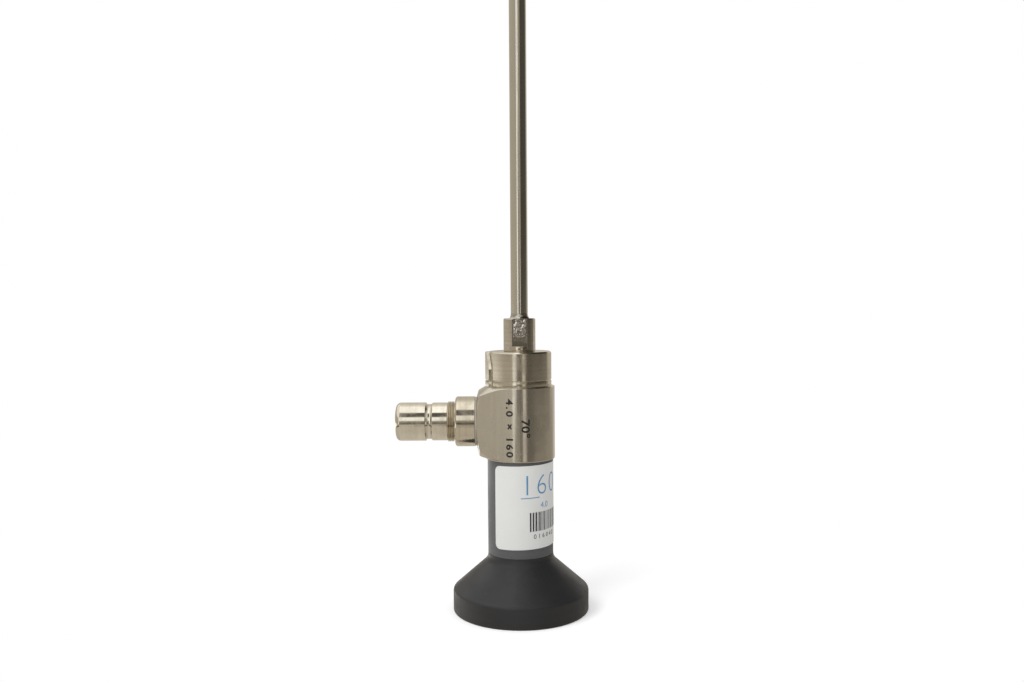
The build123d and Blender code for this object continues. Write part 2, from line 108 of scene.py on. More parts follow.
def rangeNode(tree, value, fromLow, fromHigh, toLow=0.0, toHigh=1.0):
    node = addNode(tree, "ShaderNodeMapRange", interpolation_type="SMOOTHSTEP")
    tree.links.new(value, node.inputs["Value"])
    node.inputs["From Min"].default_value = fromLow
    node.inputs["From Max"].default_value = fromHigh
    node.inputs["To Min"].default_value = toLow
    node.inputs["To Max"].default_value = toHigh
    return node.outputs["Result"]


def mixColours(tree, factor, first, second):
    node = addNode(tree, "ShaderNodeMix", data_type="RGBA")
    for slot, value in ((0, factor), (6, first), (7, second)):
        if isinstance(value, (int, float)):
            node.inputs[slot].default_value = value
        elif isinstance(value, tuple):
            node.inputs[slot].default_value = (*value, 1)
        else:
            tree.links.new(value, node.inputs[slot])
    return node.outputs[2]


def rampNode(tree, value, stops):
    # stops are (place from 0 to 1, colour), at most 32 of them
    node = addNode(tree, "ShaderNodeValToRGB")
    ramp = node.color_ramp
    while len(ramp.elements) < len(stops):
        ramp.elements.new(0.5)
    for element, (place, colour) in zip(ramp.elements, sorted(stops)):
        element.position = place
        element.color = (*colour, 1)
    tree.links.new(value, node.inputs["Fac"])
    return node.outputs["Color"]


# The studio: a white room for the eye, an even one for soft light, and rows of cards for the metal
# A card is (degrees from straight in front, positive to the right, level), and a row fades in over the
# one before between two heights of the mirrored ray; the strip in front of the light post runs from
# straight below, -90, past the front and over the top to the back, 180
studioSet = {
    "rows": [
        {"cards": [
            (-180, 0.50), (-112, 0.50), (-80, 0.46), (-27, 0.42), (-24, 1.10), (-13, 1.12), (-10, 0.12),
            (8, 0.08), (10, 0.85), (17, 0.85), (20, 0.08), (84, 0.10), (96, 0.16), (112, 0.17),
            (124, 0.55), (180, 0.50),
        ]},
        {"fade": (0.0, 0.05), "cards": [
            (-180, 0.50), (-36, 0.44), (-27, 0.44), (-24, 1.15), (-15, 1.15), (-12, 0.32), (21, 0.36),
            (27, 0.07), (98, 0.08), (116, 0.12), (130, 0.60), (180, 0.60),
        ]},
        {"fade": (-0.085, -0.10), "cards": [
            (-180, 0.50), (-160, 1.3), (-98, 1.3), (-60, 0.48), (-26, 0.48), (-24, 0.76), (-20, 0.76),
            (-16, 0.24), (6, 0.20), (9, 0.56), (19, 0.56), (24, 0.17), (42, 0.21), (52, 0.28), (134, 0.34),
            (146, 0.60), (180, 0.55),
        ]},
        {"fade": (-0.25, -0.27), "cards": [
            (-180, 0.50), (-150, 0.50), (-90, 0.45), (-60, 0.08), (40, 0.06), (90, 0.30), (180, 0.40),
        ]},
        {"fade": (-0.36, -0.41), "cards": [
            (-180, 0.50), (-60, 0.54), (-10, 0.54), (20, 0.42), (180, 0.40),
        ]},
        {"fade": (0.38, 0.52), "cards": [
            (-180, 0.50), (-150, 0.92), (-10, 0.92), (25, 0.45), (70, 0.03), (150, 0.03), (180, 0.50),
        ]},
    ],
    "strip": [
        (-90, 0.60), (-60, 0.55), (-10, 0.54), (-6, 0.28), (8, 0.26), (13, 1.08), (30, 1.10), (36, 0.07),
        (58, 0.04), (64, 1.28), (103, 1.28), (114, 0.92), (128, 0.72), (150, 0.62), (180, 0.60),
    ],
    "stripLeft": (-0.21, -0.16),
    "stripRight": (0.0, -0.03),
    "stripAbove": (0.09, 0.13),
    "stripBelow": (-0.175, -0.20),
    "warm": (1.0, 0.915, 0.79),
    "paleFrom": 0.45,
    "paleBy": 1.0,
    "cardLight": 1.3,
    "evenLight": 0.66,
}


def cardStops(cards, low, high, spec):
    # Bright cards are white and the dimmer ones warmer
    stops = []
    for angle, level in cards:
        pale = min(1.0, max(0.0, (level - spec["paleFrom"]) / (spec["paleBy"] - spec["paleFrom"])))
        colour = [level * (part + (1 - part) * pale) / spec["cardLight"] for part in spec["warm"]]
        stops.append(((angle - low) / (high - low), tuple(colour)))
    return stops


def makeStudio(spec):
    world = bpy.data.worlds.new("studio")
    bpy.context.scene.world = world
    world.use_nodes = True
    tree = world.node_tree
    tree.nodes.clear()
    direction = addNode(tree, "ShaderNodeTexCoord").outputs["Generated"]
    parts = addNode(tree, "ShaderNodeSeparateXYZ")
    tree.links.new(direction, parts.inputs[0])
    right, back, up = parts.outputs
    front = mathNode(tree, "MULTIPLY", back, -1.0)
    aroundTurn = mathNode(tree, "ARCTAN2", right, front)
    around = mathNode(tree, "ADD", mathNode(tree, "DIVIDE", aroundTurn, 2 * math.pi), 0.5)
    overTurn = mathNode(tree, "DIVIDE", mathNode(tree, "ARCTAN2", up, front), 1.5 * math.pi)
    over = mathNode(tree, "ADD", overTurn, 1 / 3)
    cards = (0, 0, 0)
    for row in spec["rows"]:
        level = rampNode(tree, around, cardStops(row["cards"], -180, 180, spec))
        fade = rangeNode(tree, up, *row["fade"]) if "fade" in row else 1.0
        cards = mixColours(tree, fade, cards, level)
    strip = rampNode(tree, over, cardStops(spec["strip"], -90, 180, spec))
    stripLeft = rangeNode(tree, right, *spec["stripLeft"])
    across = mathNode(tree, "MULTIPLY", stripLeft, rangeNode(tree, right, *spec["stripRight"]))
    stripAbove = rangeNode(tree, up, *spec["stripAbove"])
    along = mathNode(tree, "MAXIMUM", stripAbove, rangeNode(tree, up, *spec["stripBelow"]))
    cards = mixColours(tree, mathNode(tree, "MULTIPLY", across, along), cards, strip)
    lightPath = addNode(tree, "ShaderNodeLightPath")
    even = addNode(tree, "ShaderNodeBackground")
    even.inputs["Color"].default_value = (1, 1, 1, 1)
    even.inputs["Strength"].default_value = spec["evenLight"]
    banded = addNode(tree, "ShaderNodeBackground")
    tree.links.new(cards, banded.inputs["Color"])
    banded.inputs["Strength"].default_value = spec["cardLight"]
    white = addNode(tree, "ShaderNodeBackground")
    white.inputs["Color"].default_value = (1, 1, 1, 1)
    glossyMix = addNode(tree, "ShaderNodeMixShader")
    tree.links.new(lightPath.outputs["Is Glossy Ray"], glossyMix.inputs[0])
    tree.links.new(even.outputs[0], glossyMix.inputs[1])
    tree.links.new(banded.outputs[0], glossyMix.inputs[2])
    seenMix = addNode(tree, "ShaderNodeMixShader")
    seen = mathNode(
        tree, "MAXIMUM", lightPath.outputs["Is Camera Ray"], lightPath.outputs["Is Transmission Ray"]
    )
    tree.links.new(seen, seenMix.inputs[0])
    tree.links.new(glossyMix.outputs[0], seenMix.inputs[1])
    tree.links.new(white.outputs[0], seenMix.inputs[2])
    worldOut = addNode(tree, "ShaderNodeOutputWorld")
    tree.links.new(seenMix.outputs[0], worldOut.inputs["Surface"])


makeStudio(studioSet)

lampSet = {"place": (-0.32, -0.30, 0.42), "aim": (0, 0, 0.03), "size": 0.30, "power": 1.34}


def makeLamp(spec):
    bpy.ops.object.light_add(type="AREA", location=spec["place"])
    lamp = bpy.context.object
    lamp.name = "softLamp"
    lamp.data.size = spec["size"]
    lamp.data.energy = spec["power"]
    lamp.visible_glossy = False
    aim = Vector(spec["aim"]) - Vector(spec["place"])
    lamp.rotation_euler = aim.to_track_quat("-Z", "Y").to_euler()


makeLamp(lampSet)

floorSet = {"around": 96, "radius": 4.0, "white": 0.97, "lift": 0.30, "fadeStart": 0.03, "fadeEnd": 0.09}


def makeFloor(spec):
    bpy.ops.object.select_all(action="DESELECT")
    bpy.ops.mesh.primitive_circle_add(vertices=spec["around"], radius=spec["radius"], fill_type="NGON")
    floor = bpy.context.object
    floor.name = "floor"
    material = bpy.data.materials.new("paleFloor")
    material.use_nodes = True
    tree = material.node_tree
    tree.nodes.clear()
    place = addNode(tree, "ShaderNodeTexCoord").outputs["Object"]
    distance = addNode(tree, "ShaderNodeVectorMath", operation="LENGTH")
    tree.links.new(place, distance.inputs[0])
    far = rangeNode(tree, distance.outputs["Value"], spec["fadeStart"], spec["fadeEnd"])
    lightPath = addNode(tree, "ShaderNodeLightPath")
    fade = mathNode(tree, "MULTIPLY", far, lightPath.outputs["Is Camera Ray"])
    paint = addNode(tree, "ShaderNodeBsdfDiffuse")
    paint.inputs["Color"].default_value = (spec["white"], spec["white"], spec["white"], 1)
    lift = addNode(tree, "ShaderNodeEmission")
    lifting = mathNode(tree, "MULTIPLY", lightPath.outputs["Is Camera Ray"], spec["lift"])
    tree.links.new(lifting, lift.inputs["Strength"])
    lifted = addNode(tree, "ShaderNodeAddShader")
    tree.links.new(paint.outputs[0], lifted.inputs[0])
    tree.links.new(lift.outputs[0], lifted.inputs[1])
    glow = addNode(tree, "ShaderNodeEmission")
    mix = addNode(tree, "ShaderNodeMixShader")
    tree.links.new(fade, mix.inputs[0])
    tree.links.new(lifted.outputs[0], mix.inputs[1])
    tree.links.new(glow.outputs[0], mix.inputs[2])
    surface = addNode(tree, "ShaderNodeOutputMaterial")
    tree.links.new(mix.outputs[0], surface.inputs["Surface"])
    floor.data.materials.append(material)
    floor.visible_glossy = False


makeFloor(floorSet)
bpy.context.scene.view_settings.view_transform = "Standard"
print("studio, lamp and floor made")


# Node groups, shared by the materials; scales are per metre and ranges are those of the noise
patternSet = {
    "turnedTone": 1400.0,
    "brushedTone": 900.0,
    "brushedSqueeze": 0.02,
    "smearRange": (0.38, 0.68),
    "scratchTurn": (0.4, 0.9, 0.3),
    "scratchSqueeze": 0.09,
    "scratchScale": 2600.0,
    "scratchRange": (0.70, 0.76),
    "dustScale": 620.0,
    "dustRange": (0.075, 0.03),
}


def newGroup(name, inputs, outputs):
    group = bpy.data.node_groups.new(name, "ShaderNodeTree")
    for socketName, socketType, value in inputs:
        socket = group.interface.new_socket(name=socketName, in_out="INPUT", socket_type=socketType)
        if value is not None:
            socket.default_value = value
    for socketName, socketType in outputs:
        group.interface.new_socket(name=socketName, in_out="OUTPUT", socket_type=socketType)
    return group, group.nodes.new("NodeGroupInput"), group.nodes.new("NodeGroupOutput")


def makeTurnedLines():
    # Fine tool lines round the Z axis: the pattern depends on radius and height alone
    group, ins, outs = newGroup(
        "turnedLines",
        [("Vector", "NodeSocketVector", None), ("Lines", "NodeSocketFloat", 9000.0)],
        [("Height", "NodeSocketFloat"), ("Tone", "NodeSocketFloat")],
    )
    parts = addNode(group, "ShaderNodeSeparateXYZ")
    group.links.new(ins.outputs["Vector"], parts.inputs[0])
    square = mathNode(group, "MULTIPLY", parts.outputs[0], parts.outputs[0])
    otherSquare = mathNode(group, "MULTIPLY", parts.outputs[1], parts.outputs[1])
    radius = mathNode(group, "SQRT", mathNode(group, "ADD", square, otherSquare))
    flat = addNode(group, "ShaderNodeCombineXYZ")
    group.links.new(radius, flat.inputs[0])
    group.links.new(parts.outputs[2], flat.inputs[1])
    fine = addNode(group, "ShaderNodeTexNoise", noise_dimensions="2D")
    fine.inputs["Detail"].default_value = 2.0
    group.links.new(flat.outputs[0], fine.inputs["Vector"])
    group.links.new(ins.outputs["Lines"], fine.inputs["Scale"])
    broad = addNode(group, "ShaderNodeTexNoise", noise_dimensions="2D")
    broad.inputs["Scale"].default_value = patternSet["turnedTone"]
    broad.inputs["Detail"].default_value = 3.0
    group.links.new(flat.outputs[0], broad.inputs["Vector"])
    group.links.new(fine.outputs["Fac"], outs.inputs["Height"])
    group.links.new(broad.outputs["Fac"], outs.inputs["Tone"])
    return group


def makeBrushedLines():
    # Long fine scratches along the Z axis
    group, ins, outs = newGroup(
        "brushedLines",
        [("Vector", "NodeSocketVector", None), ("Lines", "NodeSocketFloat", 7000.0)],
        [("Height", "NodeSocketFloat"), ("Tone", "NodeSocketFloat")],
    )
    squeeze = addNode(group, "ShaderNodeMapping")
    squeeze.inputs["Scale"].default_value = (1.0, 1.0, patternSet["brushedSqueeze"])
    group.links.new(ins.outputs["Vector"], squeeze.inputs["Vector"])
    fine = addNode(group, "ShaderNodeTexNoise")
    fine.inputs["Detail"].default_value = 3.0
    group.links.new(squeeze.outputs[0], fine.inputs["Vector"])
    group.links.new(ins.outputs["Lines"], fine.inputs["Scale"])
    broad = addNode(group, "ShaderNodeTexNoise")
    broad.inputs["Scale"].default_value = patternSet["brushedTone"]
    group.links.new(squeeze.outputs[0], broad.inputs["Vector"])
    group.links.new(fine.outputs["Fac"], outs.inputs["Height"])
    group.links.new(broad.outputs["Fac"], outs.inputs["Tone"])
    return group


def makeHandlingWear():
    # Cloudy smears and a few short scratches, as cleaning and handling leave them
    group, ins, outs = newGroup(
        "handlingWear",
        [("Vector", "NodeSocketVector", None), ("Size", "NodeSocketFloat", 260.0)],
        [("Smear", "NodeSocketFloat"), ("Scratch", "NodeSocketFloat")],
    )
    cloud = addNode(group, "ShaderNodeTexNoise")
    cloud.inputs["Detail"].default_value = 5.0
    cloud.inputs["Roughness"].default_value = 0.6
    group.links.new(ins.outputs["Vector"], cloud.inputs["Vector"])
    group.links.new(ins.outputs["Size"], cloud.inputs["Scale"])
    smear = rangeNode(group, cloud.outputs["Fac"], *patternSet["smearRange"])
    turn = addNode(group, "ShaderNodeMapping")
    turn.inputs["Rotation"].default_value = patternSet["scratchTurn"]
    turn.inputs["Scale"].default_value = (1.0, patternSet["scratchSqueeze"], 1.0)
    group.links.new(ins.outputs["Vector"], turn.inputs["Vector"])
    streak = addNode(group, "ShaderNodeTexNoise")
    streak.inputs["Scale"].default_value = patternSet["scratchScale"]
    streak.inputs["Detail"].default_value = 1.0
    group.links.new(turn.outputs[0], streak.inputs["Vector"])
    scratch = rangeNode(group, streak.outputs["Fac"], *patternSet["scratchRange"])
    group.links.new(smear, outs.inputs["Smear"])
    group.links.new(scratch, outs.inputs["Scratch"])
    return group


def makeFineGrain():
    # The slight orange skin of moulded and turned plastic, with dust on it
    group, ins, outs = newGroup(
        "fineGrain",
        [("Vector", "NodeSocketVector", None), ("Grain", "NodeSocketFloat", 9000.0)],
        [("Height", "NodeSocketFloat"), ("Dust", "NodeSocketFloat")],
    )
    skin = addNode(group, "ShaderNodeTexNoise")
    skin.inputs["Detail"].default_value = 4.0
    group.links.new(ins.outputs["Vector"], skin.inputs["Vector"])
    group.links.new(ins.outputs["Grain"], skin.inputs["Scale"])
    cells = addNode(group, "ShaderNodeTexVoronoi")
    cells.inputs["Scale"].default_value = patternSet["dustScale"]
    group.links.new(ins.outputs["Vector"], cells.inputs["Vector"])
    specks = rangeNode(group, cells.outputs["Distance"], *patternSet["dustRange"])
    group.links.new(skin.outputs["Fac"], outs.inputs["Height"])
    group.links.new(specks, outs.inputs["Dust"])
    return group


turnedLines = makeTurnedLines()
brushedLines = makeBrushedLines()
handlingWear = makeHandlingWear()
fineGrain = makeFineGrain()


def groupNode(tree, group, vector, **values):
    node = addNode(tree, "ShaderNodeGroup", node_tree=group)
    tree.links.new(vector, node.inputs["Vector"])
    for key, value in values.items():
        node.inputs[key].default_value = value
    return node


def startMaterial(name, turned=False):
    # turned: the pattern's Z axis is laid along the light post
    material = bpy.data.materials.new(name)
    material.use_nodes = True
    tree = material.node_tree
    shader = tree.nodes["Principled BSDF"]
    place = addNode(tree, "ShaderNodeTexCoord").outputs["Object"]
    if turned:
        lay = addNode(tree, "ShaderNodeMapping")
        lay.inputs["Location"].default_value = (postHeight, 0, 0)
        lay.inputs["Rotation"].default_value = (0, math.radians(-90), 0)
        tree.links.new(place, lay.inputs["Vector"])
        place = lay.outputs[0]
    return material, tree, shader, place


def bumpNode(tree, height, strength, distance, normal=None):
    node = addNode(tree, "ShaderNodeBump")
    node.inputs["Strength"].default_value = strength
    node.inputs["Distance"].default_value = distance
    tree.links.new(height, node.inputs["Height"])
    if normal is not None:
        tree.links.new(normal, node.inputs["Normal"])
    return node.outputs["Normal"]


steelWear = {
    "scratchRough": 0.10, "scratchDepth": 0.25, "scratchHeight": 0.008 * mm, "lineHeight": 0.01 * mm,
}


def steelMaterial(name, spec):
    material, tree, shader, place = startMaterial(name, spec.get("alongPost", False))
    lines = groupNode(tree, spec["pattern"], place, Lines=spec["lines"])
    wear = groupNode(tree, handlingWear, place, Size=spec["smearSize"])
    toned = mixColours(tree, lines.outputs["Tone"], spec["deep"], spec["light"])
    stained = mixColours(
        tree, mathNode(tree, "MULTIPLY", wear.outputs["Smear"], spec["stain"]), toned, spec["stainColour"]
    )
    tree.links.new(stained, shader.inputs["Base Color"])
    low, high = spec["roughness"]
    rough = rangeNode(tree, wear.outputs["Smear"], 0.0, 1.0, low, high)
    scratched = mathNode(tree, "MULTIPLY", wear.outputs["Scratch"], steelWear["scratchRough"])
    rougher = mathNode(tree, "ADD", rough, scratched)
    tree.links.new(rougher, shader.inputs["Roughness"])
    lineNormal = bumpNode(tree, lines.outputs["Height"], spec["lineDepth"], steelWear["lineHeight"])
    normal = bumpNode(
        tree, wear.outputs["Scratch"], steelWear["scratchDepth"], steelWear["scratchHeight"], lineNormal
    )
    tree.links.new(normal, shader.inputs["Normal"])
    shader.inputs["Metallic"].default_value = 1.0
    if spec.get("anisotropy"):
        shader.inputs["Anisotropic"].default_value = spec["anisotropy"]
        shader.inputs["Anisotropic Rotation"].default_value = 0.25
        tangent = addNode(tree, "ShaderNodeTangent", direction_type="RADIAL", axis=spec["axis"])
        tree.links.new(tangent.outputs[0], shader.inputs["Tangent"])
    return material


steelSet = {
    "body": {
        "pattern": brushedLines, "lines": 6000.0, "lineDepth": 0.35, "deep": (0.66, 0.61, 0.51),
        "light": (0.80, 0.75, 0.64), "stain": 0.25, "stainColour": (0.58, 0.53, 0.43), "smearSize": 170.0,
        "roughness": (0.16, 0.25), "anisotropy": 0.6, "axis": "Z",
    },
    "hub": {
        "pattern": turnedLines, "lines": 9000.0, "lineDepth": 0.35, "deep": (0.62, 0.57, 0.46),
        "light": (0.80, 0.74, 0.61), "stain": 0.3, "stainColour": (0.52, 0.46, 0.34), "smearSize": 220.0,
        "roughness": (0.17, 0.27), "anisotropy": 0.6, "axis": "Z",
    },
    "post": {
        "pattern": turnedLines, "lines": 8000.0, "lineDepth": 0.2, "deep": (0.74, 0.69, 0.57),
        "light": (0.88, 0.82, 0.69), "stain": 0.2, "stainColour": (0.66, 0.58, 0.44), "smearSize": 240.0,
        "roughness": (0.11, 0.19), "anisotropy": 0.5, "axis": "X", "alongPost": True,
    },
    "shaft": {
        "pattern": brushedLines, "lines": 9000.0, "lineDepth": 0.15, "deep": (0.66, 0.62, 0.53),
        "light": (0.80, 0.76, 0.66), "stain": 0.2, "stainColour": (0.58, 0.53, 0.44), "smearSize": 120.0,
        "roughness": (0.12, 0.20),
    },
    "collar": {
        "pattern": turnedLines, "lines": 7000.0, "lineDepth": 0.3, "deep": (0.60, 0.55, 0.46),
        "light": (0.76, 0.71, 0.60), "stain": 0.35, "stainColour": (0.42, 0.36, 0.27), "smearSize": 420.0,
        "roughness": (0.12, 0.20),
    },
    "flange": {
        "pattern": turnedLines, "lines": 7000.0, "lineDepth": 0.3, "deep": (0.64, 0.58, 0.46),
        "light": (0.80, 0.73, 0.59), "stain": 0.3, "stainColour": (0.54, 0.46, 0.33), "smearSize": 260.0,
        "roughness": (0.11, 0.18), "anisotropy": 0.5, "axis": "X", "alongPost": True,
    },
    "solder": {
        "pattern": brushedLines, "lines": 1500.0, "lineDepth": 0.4, "deep": (0.54, 0.51, 0.46),
        "light": (0.80, 0.77, 0.71), "stain": 0.5, "stainColour": (0.30, 0.26, 0.21), "smearSize": 1300.0,
        "roughness": (0.08, 0.20),
    },
    "inside": {
        "pattern": turnedLines, "lines": 7000.0, "lineDepth": 0.3, "deep": (0.60, 0.57, 0.50),
        "light": (0.74, 0.71, 0.63), "stain": 0.1, "stainColour": (0.5, 0.47, 0.4), "smearSize": 300.0,
        "roughness": (0.22, 0.30),
    },
}
steels = {name: steelMaterial(name + "Steel", spec) for name, spec in steelSet.items()}

plasticSet = {
    "eyecup": {
        "colour": (0.022, 0.022, 0.023), "dust": (0.09, 0.09, 0.088), "roughness": (0.34, 0.46),
        "grain": 5200.0, "grainDepth": 0.10, "lineDepth": 0.22, "lines": 2600.0,
    },
    "grip": {
        "colour": (0.085, 0.087, 0.089), "dust": (0.17, 0.17, 0.165), "roughness": (0.36, 0.46),
        "grain": 7000.0, "grainDepth": 0.14, "lineDepth": 0.08, "lines": 5000.0,
    },
    "seal": {
        "colour": (0.018, 0.018, 0.018), "dust": (0.05, 0.05, 0.05), "roughness": (0.55, 0.65),
        "grain": 9000.0, "grainDepth": 0.2, "lineDepth": 0.05, "lines": 5000.0,
    },
    "postSeal": {
        "colour": (0.46, 0.43, 0.36), "dust": (0.54, 0.51, 0.45), "roughness": (0.34, 0.44),
        "grain": 9000.0, "grainDepth": 0.1, "lineDepth": 0.05, "lines": 5000.0,
    },
    "blackMetal": {
        "colour": (0.016, 0.016, 0.017), "dust": (0.03, 0.03, 0.03), "roughness": (0.40, 0.50),
        "grain": 11000.0, "grainDepth": 0.1, "lineDepth": 0.15, "lines": 7000.0,
    },
}


plasticWear = {"smearSize": 150.0, "tone": 0.35, "lighten": 1.5, "height": 0.02 * mm}


def plasticMaterial(name, spec):
    material, tree, shader, place = startMaterial(name)
    grain = groupNode(tree, fineGrain, place, Grain=spec["grain"])
    lines = groupNode(tree, turnedLines, place, Lines=spec["lines"])
    wear = groupNode(tree, handlingWear, place, Size=plasticWear["smearSize"])
    toned = mixColours(
        tree,
        mathNode(tree, "MULTIPLY", lines.outputs["Tone"], plasticWear["tone"]),
        spec["colour"],
        tuple(plasticWear["lighten"] * part for part in spec["colour"]),
    )
    dusty = mixColours(
        tree, mathNode(tree, "MULTIPLY", grain.outputs["Dust"], wear.outputs["Smear"]), toned, spec["dust"]
    )
    tree.links.new(dusty, shader.inputs["Base Color"])
    low, high = spec["roughness"]
    tree.links.new(rangeNode(tree, wear.outputs["Smear"], 0.0, 1.0, low, high), shader.inputs["Roughness"])
    grainNormal = bumpNode(tree, grain.outputs["Height"], spec["grainDepth"], plasticWear["height"])
    normal = bumpNode(
        tree, lines.outputs["Height"], spec["lineDepth"], plasticWear["height"], grainNormal
    )
    tree.links.new(normal, shader.inputs["Normal"])
    return material


plastics = {name: plasticMaterial(name + "Finish", spec) for name, spec in plasticSet.items()}


filmSet = {
    "white": (0.735, 0.735, 0.715), "aged": (0.69, 0.69, 0.66), "age": 0.5,
    "dust": (0.5, 0.49, 0.46), "dusty": 0.2, "roughness": (0.34, 0.45),
    "grain": 3000.0, "smearSize": 110.0, "grainDepth": 0.08, "height": 0.01 * mm,
}


def filmMaterial(spec):
    # White label film: a satin coat with faint yellowing and specks
    material, tree, shader, place = startMaterial("labelFilm")
    grain = groupNode(tree, fineGrain, place, Grain=spec["grain"])
    wear = groupNode(tree, handlingWear, place, Size=spec["smearSize"])
    smeared = mathNode(tree, "MULTIPLY", wear.outputs["Smear"], spec["age"])
    aged = mixColours(tree, smeared, spec["white"], spec["aged"])
    specks = mathNode(tree, "MULTIPLY", grain.outputs["Dust"], spec["dusty"])
    tree.links.new(mixColours(tree, specks, aged, spec["dust"]), shader.inputs["Base Color"])
    low, high = spec["roughness"]
    tree.links.new(rangeNode(tree, wear.outputs["Smear"], 0.0, 1.0, low, high), shader.inputs["Roughness"])
    skin = bumpNode(tree, grain.outputs["Height"], spec["grainDepth"], spec["height"])
    tree.links.new(skin, shader.inputs["Normal"])
    return material


inkSet = {"grain": 5200.0, "wornRange": (0.52, 0.72), "roughness": 0.5}


def inkMaterial(name, colour, worn):
    # Printed or laser-marked ink, thin in places
    material, tree, shader, place = startMaterial(name)
    speckle = addNode(tree, "ShaderNodeTexNoise")
    speckle.inputs["Scale"].default_value = inkSet["grain"]
    speckle.inputs["Detail"].default_value = 3.0
    tree.links.new(place, speckle.inputs["Vector"])
    thin = rangeNode(tree, speckle.outputs["Fac"], *inkSet["wornRange"])
    tree.links.new(mixColours(tree, thin, colour, worn), shader.inputs["Base Color"])
    shader.inputs["Roughness"].default_value = inkSet["roughness"]
    return material


glassSet = {
    "colour": (0.90, 0.93, 0.95), "smearSize": 500.0, "roughness": (0.01, 0.06), "through": 0.85,
    "index": 1.52, "coat": 0.4, "coatTint": (0.90, 0.86, 0.97),
}


def glassMaterial(spec):
    material, tree, shader, place = startMaterial("opticalGlass")
    wear = groupNode(tree, handlingWear, place, Size=spec["smearSize"])
    shader.inputs["Base Color"].default_value = (*spec["colour"], 1)
    low, high = spec["roughness"]
    tree.links.new(rangeNode(tree, wear.outputs["Smear"], 0.0, 1.0, low, high), shader.inputs["Roughness"])
    shader.inputs["Metallic"].default_value = 0.0
    shader.inputs["Transmission Weight"].default_value = spec["through"]
    shader.inputs["IOR"].default_value = spec["index"]
    shader.inputs["Coat Weight"].default_value = spec["coat"]
    shader.inputs["Coat Tint"].default_value = (*spec["coatTint"], 1)
    return material


fibreSet = {
    "cement": (0.20, 0.15, 0.08), "core": (0.78, 0.72, 0.56), "scale": 14000.0, "coreRange": (0.04, 0.16),
    "roughness": 0.18, "depth": 0.2, "height": 0.005 * mm,
}


def fibreMaterial(spec):
    # Ground ends of thousands of glass fibres: light dots in a dark cement
    material, tree, shader, place = startMaterial("fibreEnds")
    cells = addNode(tree, "ShaderNodeTexVoronoi", feature="DISTANCE_TO_EDGE")
    cells.inputs["Scale"].default_value = spec["scale"]
    tree.links.new(place, cells.inputs["Vector"])
    core = rangeNode(tree, cells.outputs["Distance"], *spec["coreRange"])
    tree.links.new(mixColours(tree, core, spec["cement"], spec["core"]), shader.inputs["Base Color"])
    shader.inputs["Roughness"].default_value = spec["roughness"]
    tree.links.new(bumpNode(tree, core, spec["depth"], spec["height"]), shader.inputs["Normal"])
    return material


film = filmMaterial(filmSet)
blackInk = inkMaterial("blackInk", (0.022, 0.022, 0.024), (0.06, 0.058, 0.055))
markInk = inkMaterial("laserMark", (0.014, 0.013, 0.012), (0.05, 0.045, 0.038))
blueInk = inkMaterial("blueInk", (0.09, 0.26, 0.46), (0.16, 0.34, 0.53))
opticalGlass = glassMaterial(glassSet)
fibreEnds = fibreMaterial(fibreSet)
print("materials made")


# Mesh helpers; points closer than a join are merged
meshSet = {
    "turnJoin": 0.0005 * mm, "cutJoin": 0.012 * mm, "cutFlat": 0.2, "textJoin": 0.0002 * mm,
    "edgeSegments": 2,
}


def activate(piece):
    if bpy.context.object and bpy.context.object.mode != "OBJECT":
        bpy.ops.object.mode_set(mode="OBJECT")
    bpy.ops.object.select_all(action="DESELECT")
    piece.select_set(True)
    bpy.context.view_layer.objects.active = piece


def deselectAll():
    if bpy.context.object and bpy.context.object.mode != "OBJECT":
        bpy.ops.object.mode_set(mode="OBJECT")
    bpy.ops.object.select_all(action="DESELECT")


def settle(piece):
    activate(piece)
    bpy.ops.object.transform_apply(location=True, rotation=True, scale=True)


def arcPoints(centre, radius, start, end, steps):
    turns = [math.radians(start + (end - start) * step / steps) for step in range(steps + 1)]
    return [(centre[0] + radius * math.cos(turn), centre[1] + radius * math.sin(turn)) for turn in turns]


def bowPoints(start, end, rise, steps):
    # Points of an arc from start to end that stands out by rise to the left of its way
    run = Vector(end) - Vector(start)
    half = run.length / 2
    radius = (half * half + rise * rise) / (2 * rise)
    side = Vector((-run.y, run.x)).normalized()
    centre = (Vector(start) + Vector(end)) / 2 - side * (radius - rise)
    spread = math.asin(half / radius)
    points = []
    for step in range(steps + 1):
        turn = spread * (1 - 2 * step / steps)
        point = centre + radius * (side * math.cos(turn) - run.normalized() * math.sin(turn))
        points.append((point.x, point.y))
    return points


def turnPiece(name, outline, around):
    # Turns a closed outline of (radius, height) points round the Z axis
    deselectAll()
    radius, height = outline[0]
    bpy.ops.mesh.primitive_circle_add(vertices=around, radius=radius, location=(0, 0, height))
    piece = bpy.context.object
    piece.name = name
    settle(piece)
    bpy.ops.object.mode_set(mode="EDIT")
    bpy.ops.mesh.select_all(action="SELECT")
    for nextRadius, nextHeight in outline[1:] + outline[:1]:
        bpy.ops.mesh.extrude_region_move(TRANSFORM_OT_translate={"value": (0, 0, nextHeight - height)})
        grow = nextRadius / radius
        bpy.ops.transform.resize(value=(grow, grow, 1), center_override=(0, 0, nextHeight))
        radius, height = nextRadius, nextHeight
    bpy.ops.mesh.select_all(action="SELECT")
    bpy.ops.mesh.remove_doubles(threshold=meshSet["turnJoin"])
    bpy.ops.mesh.normals_make_consistent(inside=False)
    bpy.ops.object.mode_set(mode="OBJECT")
    return piece


